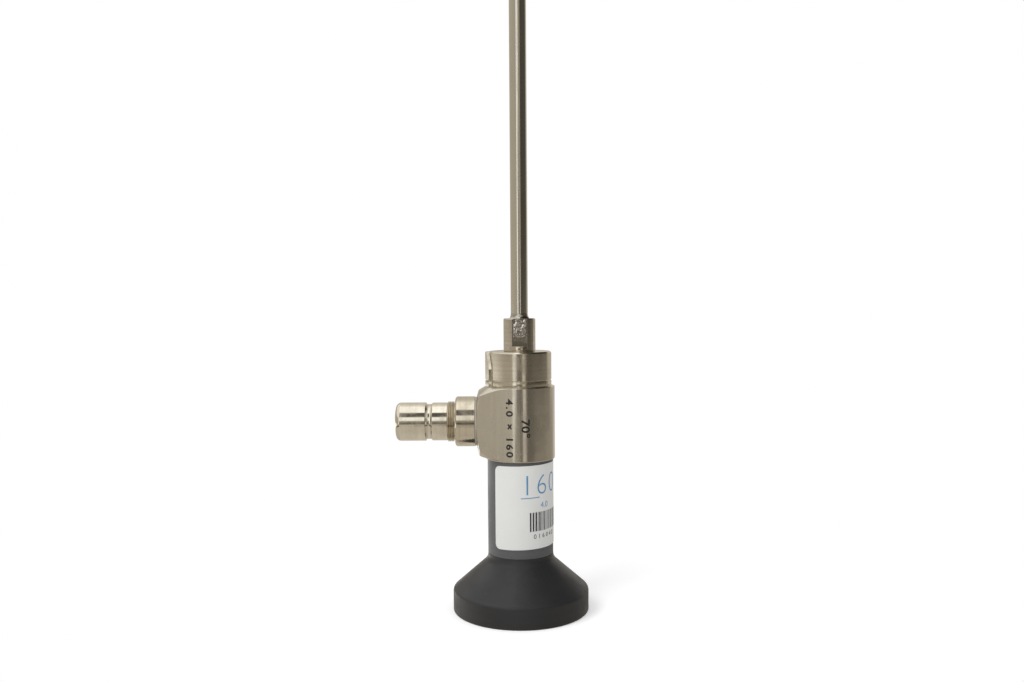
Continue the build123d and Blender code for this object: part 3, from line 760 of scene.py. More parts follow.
def turnSolid(name, outline, around):
    # Turns (radius, height) points going up round the Z axis, capped at both ends
    deselectAll()
    radius, height = outline[0]
    bpy.ops.mesh.primitive_circle_add(
        vertices=around, radius=radius, location=(0, 0, height), fill_type="NGON"
    )
    piece = bpy.context.object
    piece.name = name
    settle(piece)
    bpy.ops.object.mode_set(mode="EDIT")
    bpy.ops.mesh.select_all(action="SELECT")
    for nextRadius, nextHeight in outline[1:]:
        bpy.ops.mesh.extrude_region_move(TRANSFORM_OT_translate={"value": (0, 0, nextHeight - height)})
        grow = nextRadius / radius
        bpy.ops.transform.resize(value=(grow, grow, 1), center_override=(0, 0, nextHeight))
        radius, height = nextRadius, nextHeight
    bpy.ops.mesh.select_all(action="SELECT")
    bpy.ops.mesh.normals_make_consistent(inside=False)
    bpy.ops.object.mode_set(mode="OBJECT")
    return piece


def cleanCuts(piece):
    # Merges the slivers that cutting leaves, and joins faces that lie in one plane
    activate(piece)
    bpy.ops.object.mode_set(mode="EDIT")
    bpy.ops.mesh.select_all(action="SELECT")
    bpy.ops.mesh.remove_doubles(threshold=meshSet["cutJoin"])
    bpy.ops.mesh.dissolve_limited(angle_limit=math.radians(meshSet["cutFlat"]))
    bpy.ops.mesh.select_all(action="SELECT")
    bpy.ops.mesh.normals_make_consistent(inside=False)
    bpy.ops.object.mode_set(mode="OBJECT")


def roundEdges(piece, width, angle=30):
    activate(piece)
    bevel = piece.modifiers.new("edgeRound", "BEVEL")
    bevel.width = width
    bevel.segments = meshSet["edgeSegments"]
    bevel.limit_method = "ANGLE"
    bevel.angle_limit = math.radians(angle)
    bevel.use_clamp_overlap = False
    bpy.ops.object.modifier_apply(modifier=bevel.name)


def shade(piece, angle=32):
    activate(piece)
    bpy.ops.object.shade_smooth_by_angle(angle=math.radians(angle))
    even = piece.modifiers.new("evenShade", "WEIGHTED_NORMAL")
    even.keep_sharp = True
    bpy.ops.object.modifier_apply(modifier=even.name)


def combine(piece, tool, operation):
    activate(piece)
    change = piece.modifiers.new("combine", "BOOLEAN")
    change.operation = operation
    change.solver = "EXACT"
    change.object = tool
    bpy.ops.object.modifier_apply(modifier=change.name)
    bpy.data.objects.remove(tool)


def dress(piece, material, slot, *nodes):
    piece.data.materials.clear()
    piece.data.materials.append(material)
    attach(piece, "root")
    if nodes:
        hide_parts(*nodes)


def layAlongPost(piece):
    # Pieces of the light post are turned about Z, then laid along the post's own axis
    piece.rotation_euler = (0, math.radians(-90), 0)
    piece.location = (0, 0, postHeight)
    settle(piece)


# Eyecup: rim, cone and hollow neck outside, the eye's dish and the barrel's socket inside
eyecup = {
    "around": 224,
    "radius": eyecupHigh.x,
    "mouthRadius": 13.6 * mm,
    "footChamfer": 0.25 * mm,
    "rimHeight": 4.588 * mm,
    "rimRound": 1.0 * mm,
    "coneAngle": 48.6,
    "neckRound": 2.6 * mm,
    "dishDepth": 6.0 * mm,
    "dishBulge": 1.3 * mm,
    "openingRadius": 4.5 * mm,
    "neckLift": 0.084 * mm,
    "rimSteps": 8,
    "neckSteps": 12,
    "dishSteps": 14,
    "edge": 0.1 * mm,
    "edgeAngle": 38,
}


def makeEyecup(spec):
    neckRadius = gripHigh.x
    rimCentre = (spec["radius"] - spec["rimRound"], spec["rimHeight"])
    neckCentre = (neckRadius + spec["neckRound"], eyecupHigh.z - spec["neckLift"])
    outline = [
        (spec["mouthRadius"], 0.0),
        (spec["radius"] - spec["footChamfer"], 0.0),
        (spec["radius"], spec["footChamfer"]),
    ]
    outline += arcPoints(rimCentre, spec["rimRound"], 0, spec["coneAngle"], spec["rimSteps"])
    outline += arcPoints(neckCentre, spec["neckRound"], 180 + spec["coneAngle"], 180, spec["neckSteps"])
    outline += [
        (neckRadius, eyecupHigh.z),
        (barrelHigh.x, eyecupHigh.z),
        (barrelHigh.x, barrelLow.z),
        (spec["openingRadius"], barrelLow.z),
    ]
    dishTop, dishFoot = (spec["openingRadius"], spec["dishDepth"]), (spec["mouthRadius"], 0.0)
    outline += bowPoints(dishTop, dishFoot, spec["dishBulge"], spec["dishSteps"])[:-1]
    piece = turnPiece("eyecup_shell", outline, spec["around"])
    roundEdges(piece, spec["edge"], spec["edgeAngle"])
    shade(piece)
    dress(piece, plastics["eyecup"], "eyecup_plastic", "eyecup")


makeEyecup(eyecup)
print("eyecup made")


# Grip sleeve, its ends broken so that the joints show as fine seams
grip = {"around": 192, "edge": 0.12 * mm}


def makeGrip(spec):
    outline = [
        (barrelHigh.x, gripLow.z),
        (gripHigh.x, gripLow.z),
        (gripHigh.x, gripHigh.z),
        (barrelHigh.x, gripHigh.z),
    ]
    piece = turnPiece("grip_shell", outline, spec["around"])
    roundEdges(piece, spec["edge"])
    shade(piece)
    dress(piece, plastics["grip"], "grip_plastic", "grip_sleeve")


makeGrip(grip)
print("grip made")


# Label: a film cut with rounded corners, wrapped round the grip and stuck on a little askew
label = {
    "leftAngle": -48.4,
    "wrap": 222.0,
    "height": 19.3 * mm,
    "cornerRadius": 1.3 * mm,
    "tilt": 1.5,
    "gap": 0.01 * mm,
    "stepAngle": 3.0,
    "cornerSteps": 8,
}
labelMiddle = (labelLow.z + labelHigh.z) / 2
filmRadius = labelHigh.x


def bisectAcross(piece, low, high, step):
    # Cuts a flat piece across X at even steps, so that it can bend
    activate(piece)
    bpy.ops.object.mode_set(mode="EDIT")
    cuts = int((high - low) / step)
    for cut in range(1, cuts + 1):
        bpy.ops.mesh.select_all(action="SELECT")
        bpy.ops.mesh.bisect(plane_co=(low + cut * step, 0, 0), plane_no=(1, 0, 0))
    bpy.ops.object.mode_set(mode="OBJECT")


def wrapRound(piece, radius, slope=0.0):
    # Bends a flat piece, X along the arc from the front and Y up, round the optical axis
    for vertex in piece.data.vertices:
        along, up, out = vertex.co
        turn = along / radius
        reach = radius + out
        x = reach * math.sin(turn)
        vertex.co = (x, -reach * math.cos(turn), up + x * slope)


def makeLabel(spec):
    low = math.radians(spec["leftAngle"]) * filmRadius
    high = math.radians(spec["leftAngle"] + spec["wrap"]) * filmRadius
    deselectAll()
    bpy.ops.mesh.primitive_plane_add(size=1.0, location=((low + high) / 2, labelMiddle, 0))
    piece = bpy.context.object
    piece.name = "label_film"
    piece.scale = (high - low, spec["height"], 1)
    settle(piece)
    bpy.ops.object.mode_set(mode="EDIT")
    bpy.ops.mesh.select_all(action="SELECT")
    bpy.ops.mesh.bevel(offset=spec["cornerRadius"], segments=spec["cornerSteps"], affect="VERTICES")
    bpy.ops.object.mode_set(mode="OBJECT")
    bisectAcross(piece, low, high, math.radians(spec["stepAngle"]) * filmRadius)
    wrapRound(piece, filmRadius, math.tan(math.radians(spec["tilt"])))
    activate(piece)
    skin = piece.modifiers.new("filmThickness", "SOLIDIFY")
    skin.thickness = filmRadius - gripHigh.x - spec["gap"]
    skin.offset = -1.0
    bpy.ops.object.modifier_apply(modifier=skin.name)
    shade(piece)
    dress(piece, film, "label_film", "label")


makeLabel(label)
print("label made")


# Body block: a round plan whose two flats run to the light post's face, turned shoulders above and
# below, and a shallow turned cone round the post
body = {
    "around": 360,
    "radius": 8.2 * mm,
    "flatAngle": 14,
    "edgeRadius": 11.7 * mm,
    "topShoulder": 2.3 * mm,
    "topRadius": 8.0 * mm,
    "footShoulder": 3.1 * mm,
    "taper": 0.9 * mm,
    "taperRadius": 9.8 * mm,
    "footRound": 0.3 * mm,
    "faceRadius": 5.9 * mm,
    "faceCone": 16.0,
    "cavityRadius": 5.2 * mm,
    "spigotRadius": 5.02 * mm,
    "postBore": 3.42 * mm,
    "footClear": 0.004 * mm,
    "footSteps": 4,
    "faceAround": 240,
    "boreAround": 96,
    "slack": 0.001 * mm,
    "reach": 0.01 * mm,
    "spare": 0.5 * mm,
    "edge": 0.05 * mm,
    "edgeAngle": 20,
    "shadeAngle": 25,
}
bodyReach = -bodyLow.x


def makeBodyPlan(spec):
    # The plan: a circle with its left side drawn out past the post's face, and taller than the block,
    # so that the turned cuts give all the edges
    deselectAll()
    bpy.ops.mesh.primitive_circle_add(
        vertices=spec["around"], radius=spec["radius"], location=(0, 0, bodyLow.z - spec["spare"])
    )
    piece = bpy.context.object
    piece.name = "body_shell"
    settle(piece)
    bpy.ops.object.mode_set(mode="EDIT")
    bpy.ops.mesh.select_all(action="DESELECT")
    bpy.ops.object.mode_set(mode="OBJECT")
    turn = math.radians(spec["flatAngle"])
    limit = -spec["radius"] * math.sin(turn) - spec["slack"]
    for vertex in piece.data.vertices:
        vertex.select = vertex.co.x < limit
    bpy.ops.object.mode_set(mode="EDIT")
    bpy.ops.mesh.delete(type="VERT")
    bpy.ops.object.mode_set(mode="OBJECT")
    endX = -bodyReach - spec["spare"]
    endY = (spec["radius"] + endX * math.sin(turn)) / math.cos(turn)
    for side in (-1, 1):
        for vertex in piece.data.vertices:
            vertex.select = vertex.co.y * side > 0 and abs(vertex.co.x - limit) < spec["reach"]
        start = [vertex.co.copy() for vertex in piece.data.vertices if vertex.select][0]
        bpy.ops.object.mode_set(mode="EDIT")
        move = (endX - start.x, side * endY - start.y, 0)
        bpy.ops.mesh.extrude_region_move(TRANSFORM_OT_translate={"value": move})
        bpy.ops.object.mode_set(mode="OBJECT")
    bpy.ops.object.mode_set(mode="EDIT")
    bpy.ops.mesh.select_all(action="SELECT")
    bpy.ops.mesh.edge_face_add()
    tall = bodyHigh.z - bodyLow.z + 2 * spec["spare"]
    bpy.ops.mesh.extrude_region_move(TRANSFORM_OT_translate={"value": (0, 0, tall)})
    bpy.ops.mesh.select_all(action="SELECT")
    bpy.ops.mesh.normals_make_consistent(inside=False)
    bpy.ops.object.mode_set(mode="OBJECT")
    return piece


def makeBody(spec):
    piece = makeBodyPlan(spec)
    foot, top = bodyLow.z, bodyHigh.z
    footRadius = spec["radius"] - spec["footRound"] - spec["footClear"]
    footCentre = (footRadius, foot + spec["footRound"])
    outline = arcPoints(footCentre, spec["footRound"], -90, 0, spec["footSteps"])
    outline += [
        (spec["taperRadius"], foot + spec["taper"]),
        (spec["edgeRadius"], foot + spec["footShoulder"]),
        (spec["edgeRadius"], top - spec["topShoulder"]),
        (spec["topRadius"], top),
    ]
    combine(piece, turnSolid("bodyTurning", outline, spec["around"]), "INTERSECT")
    boring = [
        (barrelHigh.x, foot - spec["spare"]),
        (barrelHigh.x, barrelHigh.z),
        (spec["cavityRadius"], barrelHigh.z),
        (spec["cavityRadius"], hubLow.z),
        (spec["spigotRadius"], hubLow.z),
        (spec["spigotRadius"], top + spec["spare"]),
    ]
    combine(piece, turnSolid("bodyBoring", boring, spec["around"]), "DIFFERENCE")
    rim = 2 * bodyReach
    run = (rim - spec["faceRadius"]) * math.tan(math.radians(spec["faceCone"]))
    faceOutline = [(rim, -bodyReach), (rim, bodyReach - run), (spec["faceRadius"], bodyReach)]
    face = turnSolid("faceTurning", faceOutline, spec["faceAround"])
    layAlongPost(face)
    combine(piece, face, "INTERSECT")
    boreOutline = [(spec["postBore"], 0.0), (spec["postBore"], rim)]
    bore = turnSolid("postBoring", boreOutline, spec["boreAround"])
    layAlongPost(bore)
    combine(piece, bore, "DIFFERENCE")
    cleanCuts(piece)
    roundEdges(piece, spec["edge"], spec["edgeAngle"])
    shade(piece, spec["shadeAngle"])
    dress(piece, steels["body"], "satin_steel", "body_block")


makeBody(body)
print("body made")


# Hub: a groove near its foot, and a key with a pointed top on the light post's side
hub = {
    "around": 224,
    "radius": 7.45 * mm,
    "chamfer": 0.35 * mm,
    "grooveHeight": 1.25 * mm,
    "grooveWidth": 0.3 * mm,
    "grooveDepth": 0.3 * mm,
    "boreRadius": 3.02 * mm,
    "spreadRadius": 3.95 * mm,
    "spreadHeight": 1.0 * mm,
    "throatRadius": 1.85 * mm,
    "spigotRadius": 5.0 * mm,
    "keyHalfWidth": 3.6 * mm,
    "keyTipHalfWidth": 2.1 * mm,
    "keyShoulder": 3.8 * mm,
    "keyBulge": 0.35 * mm,
    "keySteps": 10,
    "keyGap": 0.01 * mm,
    "keyDrop": 0.13 * mm,
    "keyStand": 1.3,
    "edge": 0.05 * mm,
    "edgeAngle": 30,
    "shadeAngle": 30,
}


def makeKey(spec):
    foot, top = bodyHigh.z + spec["keyGap"], hubHigh.z - spec["keyDrop"]
    inner, outer = -noseHigh.x, -hubHigh.x * spec["keyStand"]
    deselectAll()
    bpy.ops.mesh.primitive_cube_add(
        size=1.0, location=((inner + outer) / 2, 0, foot + spec["keyShoulder"] / 2)
    )
    key = bpy.context.object
    key.name = "hubKey"
    key.scale = (inner - outer, 2 * spec["keyHalfWidth"], spec["keyShoulder"])
    settle(key)
    bpy.ops.object.mode_set(mode="EDIT")
    bpy.ops.mesh.select_mode(type="FACE")
    bpy.ops.mesh.select_all(action="DESELECT")
    bpy.ops.object.mode_set(mode="OBJECT")
    for polygon in key.data.polygons:
        polygon.select = polygon.normal.z > 0.9
    bpy.ops.object.mode_set(mode="EDIT")
    flank = bowPoints(
        (spec["keyHalfWidth"], foot + spec["keyShoulder"]),
        (spec["keyTipHalfWidth"], top),
        -spec["keyBulge"],
        spec["keySteps"],
    )
    width, height = flank[0]
    for nextWidth, nextHeight in flank[1:]:
        bpy.ops.mesh.extrude_region_move(TRANSFORM_OT_translate={"value": (0, 0, nextHeight - height)})
        bpy.ops.transform.resize(value=(1, nextWidth / width, 1), center_override=(0, 0, nextHeight))
        width, height = nextWidth, nextHeight
    bpy.ops.mesh.select_mode(type="VERT")
    bpy.ops.mesh.select_all(action="SELECT")
    bpy.ops.mesh.normals_make_consistent(inside=False)
    bpy.ops.object.mode_set(mode="OBJECT")
    return key


def makeHub(spec):
    foot, top = bodyHigh.z, hubHigh.z
    grooveLow = foot + spec["grooveHeight"]
    grooveHigh = grooveLow + spec["grooveWidth"]
    grooveFloor = spec["radius"] - spec["grooveDepth"]
    outline = [
        (spec["boreRadius"], top),
        (spec["radius"] - spec["chamfer"], top),
        (spec["radius"], top - spec["chamfer"]),
        (spec["radius"], grooveHigh),
        (grooveFloor, grooveHigh),
        (grooveFloor, grooveLow),
        (spec["radius"], grooveLow),
        (spec["radius"], foot),
        (spec["spigotRadius"], foot),
        (spec["spigotRadius"], hubLow.z),
        (spec["spreadRadius"], hubLow.z),
        (spec["spreadRadius"], hubLow.z + spec["spreadHeight"]),
        (spec["throatRadius"], noseLow.z),
        (spec["boreRadius"], noseLow.z),
    ]
    piece = turnPiece("hub_shell", outline, spec["around"])
    key = makeKey(spec)
    keyTurning = [(-hubLow.x, foot - spec["grooveWidth"]), (-hubLow.x, top + spec["grooveWidth"])]
    combine(key, turnSolid("keyTurning", keyTurning, spec["around"]), "INTERSECT")
    rim, spare = 2 * spec["radius"], spec["keyGap"] / 2
    grooveTurning = [(rim, grooveLow - spare), (rim, grooveHigh + spare)]
    combine(key, turnSolid("grooveTurning", grooveTurning, spec["around"]), "DIFFERENCE")
    combine(piece, key, "UNION")
    cleanCuts(piece)
    roundEdges(piece, spec["edge"], spec["edgeAngle"])
    shade(piece, spec["shadeAngle"])
    dress(piece, steels["hub"], "satin_steel", "hub")


makeHub(hub)
print("hub made")


# Nose collar with its milled flat, the crumpled solder patch on it, and the solder bead above
nose = {
    "around": 160,
    "radius": 3.75 * mm,
    "chamfer": 0.2 * mm,
    "flat": 3.3 * mm,
    "ledge": 1.2 * mm,
    "spigotRadius": 3.0 * mm,
    "boreRadius": 1.94 * mm,
    "edge": 0.06 * mm,
    "edgeAngle": 30,
    "shadeAngle": 30,
}
patch = {
    "width": 3.4 * mm,
    "height": 4.35 * mm,
    "low": 3.25 * mm,
    "middle": 0.1 * mm,
    "sink": 0.03 * mm,
    "grid": (11, 14),
    "rise": 0.26 * mm,
    "risePower": 1.5,
    "fadePower": 6,
    "thickness": 0.08 * mm,
    "seed": 7,
}
bead = {
    "around": 96,
    "boreRadius": 1.93 * mm,
    "hollow": 0.15 * mm,
    "steps": 8,
    "waves": (2, 5),
    "shrink": 0.7,
    "shadeAngle": 50,
    "seed": 3,
}


def makeNose(spec):
    foot, top = hubHigh.z, noseHigh.z
    outline = [
        (spec["boreRadius"], top),
        (spec["radius"] - spec["chamfer"], top),
        (spec["radius"], top - spec["chamfer"]),
        (spec["radius"], foot),
        (spec["spigotRadius"], foot),
        (spec["spigotRadius"], noseLow.z),
        (spec["boreRadius"], noseLow.z),
    ]
    piece = turnPiece("nose_shell", outline, spec["around"])
    deselectAll()
    depth = 2 * spec["radius"]
    bpy.ops.mesh.primitive_cube_add(
        size=1.0, location=(0, -spec["flat"] - depth / 2, foot + spec["ledge"] + depth)
    )
    cutter = bpy.context.object
    cutter.scale = (2 * depth, depth, 2 * depth)
    settle(cutter)
    combine(piece, cutter, "DIFFERENCE")
    roundEdges(piece, spec["edge"], spec["edgeAngle"])
    shade(piece, spec["shadeAngle"])
    dress(piece, steels["collar"], "satin_steel", "nose_collar")


def makePatch(spec):
    deselectAll()
    across, up = spec["grid"]
    bpy.ops.mesh.primitive_grid_add(x_subdivisions=across, y_subdivisions=up, size=1.0)
    piece = bpy.context.object
    piece.name = "nose_solder_patch"
    piece.scale = (spec["width"], spec["height"], 1)
    piece.rotation_euler = (math.radians(90), 0, 0)
    middle = hubHigh.z + spec["low"] + spec["height"] / 2
    piece.location = (spec["middle"], -nose["flat"] + spec["sink"], middle)
    settle(piece)
    dice = random.Random(spec["seed"])
    lift = [dice.uniform(0.0, 1.0) ** spec["risePower"] for _ in piece.data.vertices]
    for vertex, height in zip(piece.data.vertices, lift):
        edgeX = 1 - (abs(vertex.co.x - spec["middle"]) / (spec["width"] / 2)) ** spec["fadePower"]
        edgeZ = 1 - (abs(vertex.co.z - middle) / (spec["height"] / 2)) ** spec["fadePower"]
        vertex.co.y -= spec["rise"] * height * max(0.0, min(edgeX, edgeZ))
    activate(piece)
    skin = piece.modifiers.new("patchThickness", "SOLIDIFY")
    skin.thickness = spec["thickness"]
    skin.offset = -1.0
    bpy.ops.object.modifier_apply(modifier=skin.name)
    soft = piece.modifiers.new("patchSoft", "SUBSURF")
    soft.levels = 1
    soft.render_levels = 1
    bpy.ops.object.modifier_apply(modifier=soft.name)
    bpy.ops.object.shade_smooth()
    dress(piece, steels["solder"], "solder")


def makeBead(spec):
    # A hollow fillet, drawn in unevenly by two waves round it that run from 0 to 1 together
    beadFoot, beadTop = (beadHigh.x, beadLow.z), (shaftHigh.x, beadHigh.z)
    outline = [(spec["boreRadius"], beadLow.z), beadFoot]
    outline += bowPoints(beadFoot, beadTop, spec["hollow"], spec["steps"])[1:]
    piece = turnPiece("solder_fillet", outline, spec["around"])
    dice = random.Random(spec["seed"])
    phase = dice.uniform(0, math.pi)
    slow, quick = spec["waves"]
    for vertex in piece.data.vertices:
        turn = math.atan2(vertex.co.y, vertex.co.x)
        inward = 0.5 + 0.25 * math.sin(slow * turn + phase) + 0.25 * math.sin(quick * turn)
        reach = math.hypot(vertex.co.x, vertex.co.y)
        free = max(0.0, reach - shaftHigh.x)
        shrink = 1 - spec["shrink"] * inward * free / reach
        vertex.co.x *= shrink
        vertex.co.y *= shrink
    shade(piece, spec["shadeAngle"])
    dress(piece, steels["solder"], "solder", "solder_bead")


makeNose(nose)
makePatch(patch)
makeBead(bead)
print("nose collar, patch and bead made")


# Shaft: the outer tube with its seat in the collar, cut off by the oblique plane of the tip
shaft = {
    "around": 96,
    "seatRadius": 1.92 * mm,
    "boreRadius": 1.8 * mm,
    "tipAngle": 60,
    "tipRoom": 1.0 * mm,
    "tipBand": 0.1 * mm,
    "shadeAngle": 20,
}


def makeShaft(spec):
    radius = shaftHigh.x
    slope = math.tan(math.radians(spec["tipAngle"]))
    tipLow = shaftHigh.z - 2 * radius * slope
    outline = [
        (spec["boreRadius"], shaftLow.z),
        (spec["seatRadius"], shaftLow.z),
        (spec["seatRadius"], noseHigh.z),
        (radius, beadHigh.z),
        (radius, tipLow - spec["tipRoom"]),
        (radius, shaftHigh.z),
        (spec["boreRadius"], shaftHigh.z),
        (spec["boreRadius"], tipLow - spec["tipRoom"]),
    ]
    piece = turnPiece("shaft_tube", outline, spec["around"])
    for vertex in piece.data.vertices:
        if vertex.co.z > shaftHigh.z - spec["tipBand"]:
            vertex.co.z = shaftHigh.z - (vertex.co.x + radius) * slope
    shade(piece, spec["shadeAngle"])
    dress(piece, steels["shaft"], "shaft_steel", "outer_tube")


makeShaft(shaft)
print("shaft made")


# Light post and its adapter, turned about Z with height as the distance from the optical axis
post = {
    "around": 192,
    "spigotRadius": 3.4 * mm,
    "flangeWidth": 4.57 * mm,
    "flangeChamfer": 0.35 * mm,
    "neckRadius": 4.3 * mm,
    "neckWidth": 0.3 * mm,
    "threadRadius": 4.75 * mm,
    "threadRoot": 4.42 * mm,
    "threadTurns": 4,
    "threadStart": 0.02 * mm,
    "crestHalf": 0.05 * mm,
    "screwRadius": 3.8 * mm,
    "screwLength": 3.5 * mm,
    "noseRadius": 3.0 * mm,
    "boreRadius": 1.67 * mm,
    "barrelRadius": 4.45 * mm,
    "barrelWidth": 3.85 * mm,
    "grooveRadius": 4.1 * mm,
    "grooveWidth": 1.27 * mm,
    "grooveChamfer": 0.3 * mm,
    "endRound": 1.15 * mm,
    "endSteps": 8,
    "openingRadius": 2.4 * mm,
    "fit": 0.02 * mm,
    "edge": 0.08 * mm,
    "edgeAngle": 35,
    "threadEdge": 0.03 * mm,
    "threadEdgeAngle": 40,
    "shadeAngle": 30,
}


def makePost(spec):
    start, flangeStart = -postHigh.x, -ringLow.x
    flangeEnd = flangeStart + spec["flangeWidth"]
    neckEnd = flangeEnd + spec["neckWidth"]
    threadEnd = -adapterHigh.x
    screwEnd = threadEnd + spec["screwLength"]
    flangeRadius = (postHigh.z - postLow.z) / 2
    outline = [
        (spec["boreRadius"], start),
        (spec["spigotRadius"], start),
        (spec["spigotRadius"], flangeStart),
        (flangeRadius, flangeStart),
        (flangeRadius, flangeEnd - spec["flangeChamfer"]),
        (flangeRadius - spec["flangeChamfer"], flangeEnd),
        (spec["neckRadius"], flangeEnd),
        (spec["neckRadius"], neckEnd),
    ]
    pitch = (threadEnd - neckEnd) / spec["threadTurns"]
    for turn in range(spec["threadTurns"]):
        crest = neckEnd + (turn + 0.5) * pitch
        outline += [
            (spec["threadRoot"], neckEnd + turn * pitch + spec["threadStart"]),
            (spec["threadRadius"], crest - spec["crestHalf"]),
            (spec["threadRadius"], crest + spec["crestHalf"]),
        ]
    outline += [
        (spec["threadRoot"], threadEnd),
        (spec["screwRadius"], threadEnd),
        (spec["screwRadius"], screwEnd),
        (spec["noseRadius"], screwEnd),
        (spec["noseRadius"], -postLow.x),
        (spec["boreRadius"], -postLow.x),
    ]
    piece = turnPiece("post_shell", outline, spec["around"])
    roundEdges(piece, spec["threadEdge"], spec["threadEdgeAngle"])
    layAlongPost(piece)
    shade(piece, spec["shadeAngle"])
    dress(piece, steels["flange"], "satin_steel", "light_post")


def makeAdapter(spec):
    start, end = -adapterHigh.x, -adapterLow.x
    screwEnd = start + spec["screwLength"]
    grooveStart = start + spec["barrelWidth"]
    grooveEnd = grooveStart + spec["grooveWidth"]
    radius = (adapterHigh.z - adapterLow.z) / 2
    endCentre = (radius - spec["endRound"], end - spec["endRound"])
    outline = [
        (spec["screwRadius"] + spec["fit"], start),
        (spec["barrelRadius"], start),
        (spec["barrelRadius"], grooveStart - spec["grooveChamfer"]),
        (spec["grooveRadius"], grooveStart),
        (spec["grooveRadius"], grooveEnd),
        (radius, grooveEnd),
    ]
    outline += arcPoints(endCentre, spec["endRound"], 0, 90, spec["endSteps"])
    outline += [
        (spec["openingRadius"], end),
        (spec["openingRadius"], -postLow.x),
        (spec["noseRadius"] + spec["fit"], -postLow.x),
        (spec["noseRadius"] + spec["fit"], screwEnd),
        (spec["screwRadius"] + spec["fit"], screwEnd),
    ]
    piece = turnPiece("adapter_shell", outline, spec["around"])
    roundEdges(piece, spec["edge"], spec["edgeAngle"])
    layAlongPost(piece)
    shade(piece, spec["shadeAngle"])
    dress(piece, steels["post"], "satin_steel", "post_adapter")


def makePostRing(spec):
    radius = (ringHigh.z - ringLow.z) / 2
    start, end = -ringHigh.x, -ringLow.x
    bore = spec["spigotRadius"] + spec["fit"]
    outline = [(bore, start), (radius, start), (radius, end), (bore, end)]
    piece = turnPiece("post_seal", outline, spec["around"])
    roundEdges(piece, spec["edge"])
    layAlongPost(piece)
    shade(piece)
    dress(piece, plastics["postSeal"], "seal_rubber", "post_ring")


makePost(post)
makeAdapter(post)
makePostRing(post)
print("light post made")


# Markings: plain numbers only, each a thin closed mesh laid on the surface that carries it
markings = {
    "thickness": 0.016 * mm,
    "sink": 0.004 * mm,
    "angleMark": {
        "text": "70°", "size": 2.85 * mm, "along": 0.23 * mm, "height": 45.9 * mm, "bold": 0.065 * mm,
        "spacing": 1.0, "length": 4.2 * mm, "cap": 2.07 * mm,
    },
    "sizeMark": {
        "text": "4.0 × 160", "size": 2.35 * mm, "along": -3.31 * mm, "height": 50.6 * mm,
        "bold": 0.075 * mm, "spacing": 1.3, "length": 13.4 * mm, "cap": 1.68 * mm,
    },
    "bigNumber": {
        "text": "160", "size": 6.9 * mm, "along": -0.2 * mm, "height": 28.3 * mm, "bold": -0.14 * mm,
        "spacing": 1.1,
    },
    "smallNumber": {"text": "4.0", "size": 1.9 * mm, "along": 4.9 * mm, "height": 25.2 * mm},
    "tinyNumber": {"text": "0 1 6 0 4 0", "size": 1.5 * mm, "along": 3.0 * mm, "height": 18.2 * mm},
    "rule": {"along": 0.0, "height": 27.6 * mm, "length": 4.6 * mm, "width": 0.2 * mm},
    "bars": {
        "along": 2.1 * mm, "height": 19.9 * mm, "tall": 4.4 * mm, "length": 13.0 * mm, "seed": 11,
        "widths": (0.12, 0.12, 0.24, 0.36), "gaps": (0.14, 0.2, 0.3),
    },
    "step": 0.3 * mm,
    "curveSteps": 4,
}


def onBody(along, out):
    # A point on the body's front: round near the middle, flat beyond the tangent on the left
    turn = along / body["radius"]
    limit = -math.radians(body["flatAngle"])
    reach = body["radius"] + out
    if turn >= limit:
        return reach * math.sin(turn), -reach * math.cos(turn)
    over = (limit - turn) * body["radius"]
    x = reach * math.sin(limit) - over * math.cos(limit)
    y = -reach * math.cos(limit) - over * math.sin(limit)
    return x, y


def stretchTo(piece, length, cap):
    # Fits flat text to its length and the height of its figures
    low = Vector([min(vertex.co[axis] for vertex in piece.data.vertices) for axis in (0, 1)])
    high = Vector([max(vertex.co[axis] for vertex in piece.data.vertices) for axis in (0, 1)])
    for vertex in piece.data.vertices:
        vertex.co.x = (vertex.co.x - low.x) * length / (high.x - low.x)
        vertex.co.y = (vertex.co.y - low.y) * cap / (high.y - low.y)


def textMesh(name, spec, turned):
    # Text as a thin closed mesh, X along the arc and Y up; turned text reads downwards
    deselectAll()
    bpy.ops.object.text_add()
    piece = bpy.context.object
    piece.name = name
    piece.data.body = spec["text"]
    piece.data.size = spec["size"]
    piece.data.offset = spec.get("bold", 0.0)
    piece.data.space_character = spec.get("spacing", 1.0)
    piece.data.extrude = markings["thickness"] / 2
    piece.data.resolution_u = markings["curveSteps"]
    bpy.ops.object.convert(target="MESH")
    if "length" in spec:
        stretchTo(piece, spec["length"], spec["cap"])
    if turned:
        piece.rotation_euler = (0, 0, math.radians(-90))
    piece.location = (spec["along"], spec["height"], markings["thickness"] / 2 - markings["sink"])
    settle(piece)
    return piece


def flatBox(name, along, height, length, tall):
    deselectAll()
    bpy.ops.mesh.primitive_cube_add(
        size=1.0,
        location=(along + length / 2, height + tall / 2, markings["thickness"] / 2 - markings["sink"]),
    )
    piece = bpy.context.object
    piece.name = name
    piece.scale = (length, tall, markings["thickness"])
    settle(piece)
    return piece


def closeMesh(piece):
    activate(piece)
    bpy.ops.object.mode_set(mode="EDIT")
    bpy.ops.mesh.select_all(action="SELECT")
    bpy.ops.mesh.remove_doubles(threshold=meshSet["textJoin"])
    bpy.ops.mesh.normals_make_consistent(inside=False)
    bpy.ops.object.mode_set(mode="OBJECT")


def cutForBend(piece):
    low = min(vertex.co.x for vertex in piece.data.vertices)
    high = max(vertex.co.x for vertex in piece.data.vertices)
    bisectAcross(piece, low, high, markings["step"])


def markBody(name, spec):
    piece = textMesh(name, spec, True)
    closeMesh(piece)
    cutForBend(piece)
    for vertex in piece.data.vertices:
        x, y = onBody(vertex.co.x, vertex.co.z)
        vertex.co = (x, y, vertex.co.y)
    dress(piece, markInk, "black_metal")


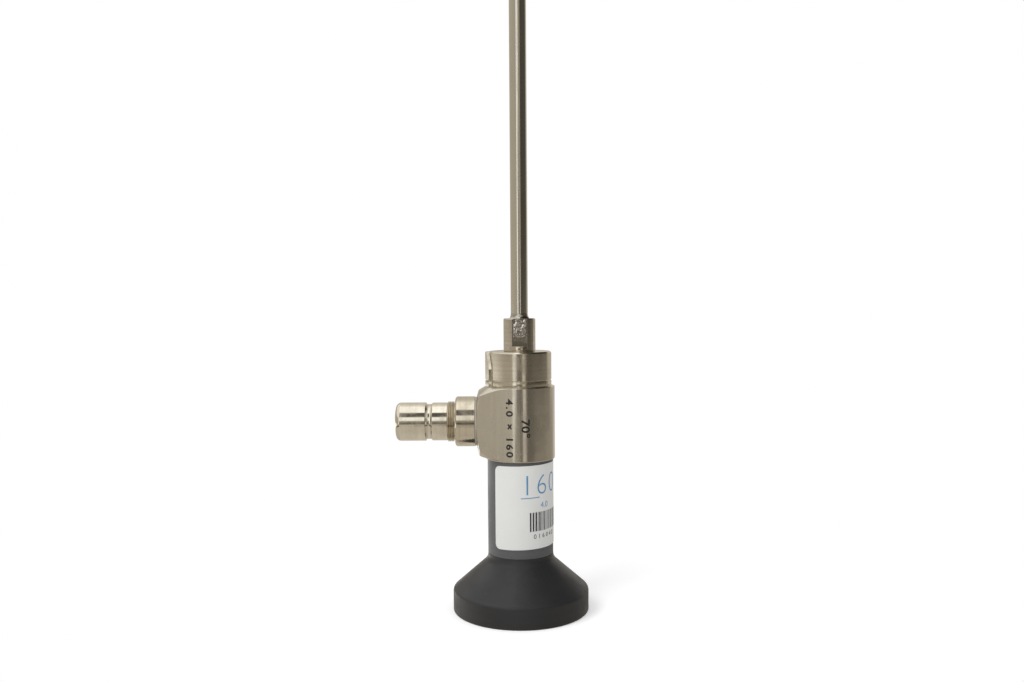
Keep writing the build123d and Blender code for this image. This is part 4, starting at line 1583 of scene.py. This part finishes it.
def markLabel(piece, ink, slot):
    closeMesh(piece)
    cutForBend(piece)
    wrapRound(piece, filmRadius, math.tan(math.radians(label["tilt"])))
    dress(piece, ink, slot)


def makeBars(spec):
    # A field of plain bars with chance widths that stand for nothing
    dice = random.Random(spec["seed"])
    bars, along = [], spec["along"]
    while along < spec["along"] + spec["length"]:
        width = dice.choice(spec["widths"]) * mm
        bars.append(flatBox("bar", along, spec["height"], width, spec["tall"]))
        along += width + dice.choice(spec["gaps"]) * mm
    deselectAll()
    for bar in bars:
        bar.select_set(True)
    bpy.context.view_layer.objects.active = bars[0]
    bpy.ops.object.join()
    bars[0].name = "label_bars"
    return bars[0]


def makeRule(spec):
    return flatBox("label_rule", spec["along"], spec["height"], spec["length"], spec["width"])


markBody("angle_mark", markings["angleMark"])
markBody("size_mark", markings["sizeMark"])
markLabel(textMesh("label_big_number", markings["bigNumber"], False), blueInk, "label_film")
markLabel(textMesh("label_small_number", markings["smallNumber"], False), blueInk, "label_film")
markLabel(textMesh("label_tiny_number", markings["tinyNumber"], False), blackInk, "label_film")
markLabel(makeRule(markings["rule"]), blueInk, "label_film")
markLabel(makeBars(markings["bars"]), blackInk, "label_film")
print("markings made")


# CAD nodes that stay, with their own finish
carried = {
    "inner_tube": steels["inside"],
    "fibre_bundle": fibreEnds,
    "fibre_ferrule": steels["inside"],
    "eyepiece_barrel": plastics["blackMetal"],
    "barrel_o_ring": plastics["seal"],
    "window_ring": plastics["blackMetal"],
    "window_gasket": plastics["seal"],
    "ocular_window": opticalGlass,
    "ocular_cell": plastics["blackMetal"],
    "ocular_spacer": plastics["blackMetal"],
    "ocular_lock_ring": plastics["blackMetal"],
    "relay_bush": steels["inside"],
    "field_stop": plastics["blackMetal"],
    "objective_stop": plastics["blackMetal"],
}
glassNodes = ("lens", "prism", "distal_window")
spacerNodes = ("rod_spacer",)
for nodeName, node in partNodes.items():
    finish = carried.get(nodeName)
    if finish is None and any(word in nodeName for word in glassNodes):
        finish = opticalGlass
    if finish is None and any(word in nodeName for word in spacerNodes):
        finish = steels["inside"]
    if finish is None:
        continue
    for slotIndex in range(len(node.material_slots)):
        node.material_slots[slotIndex].material = finish
print("carried nodes finished")
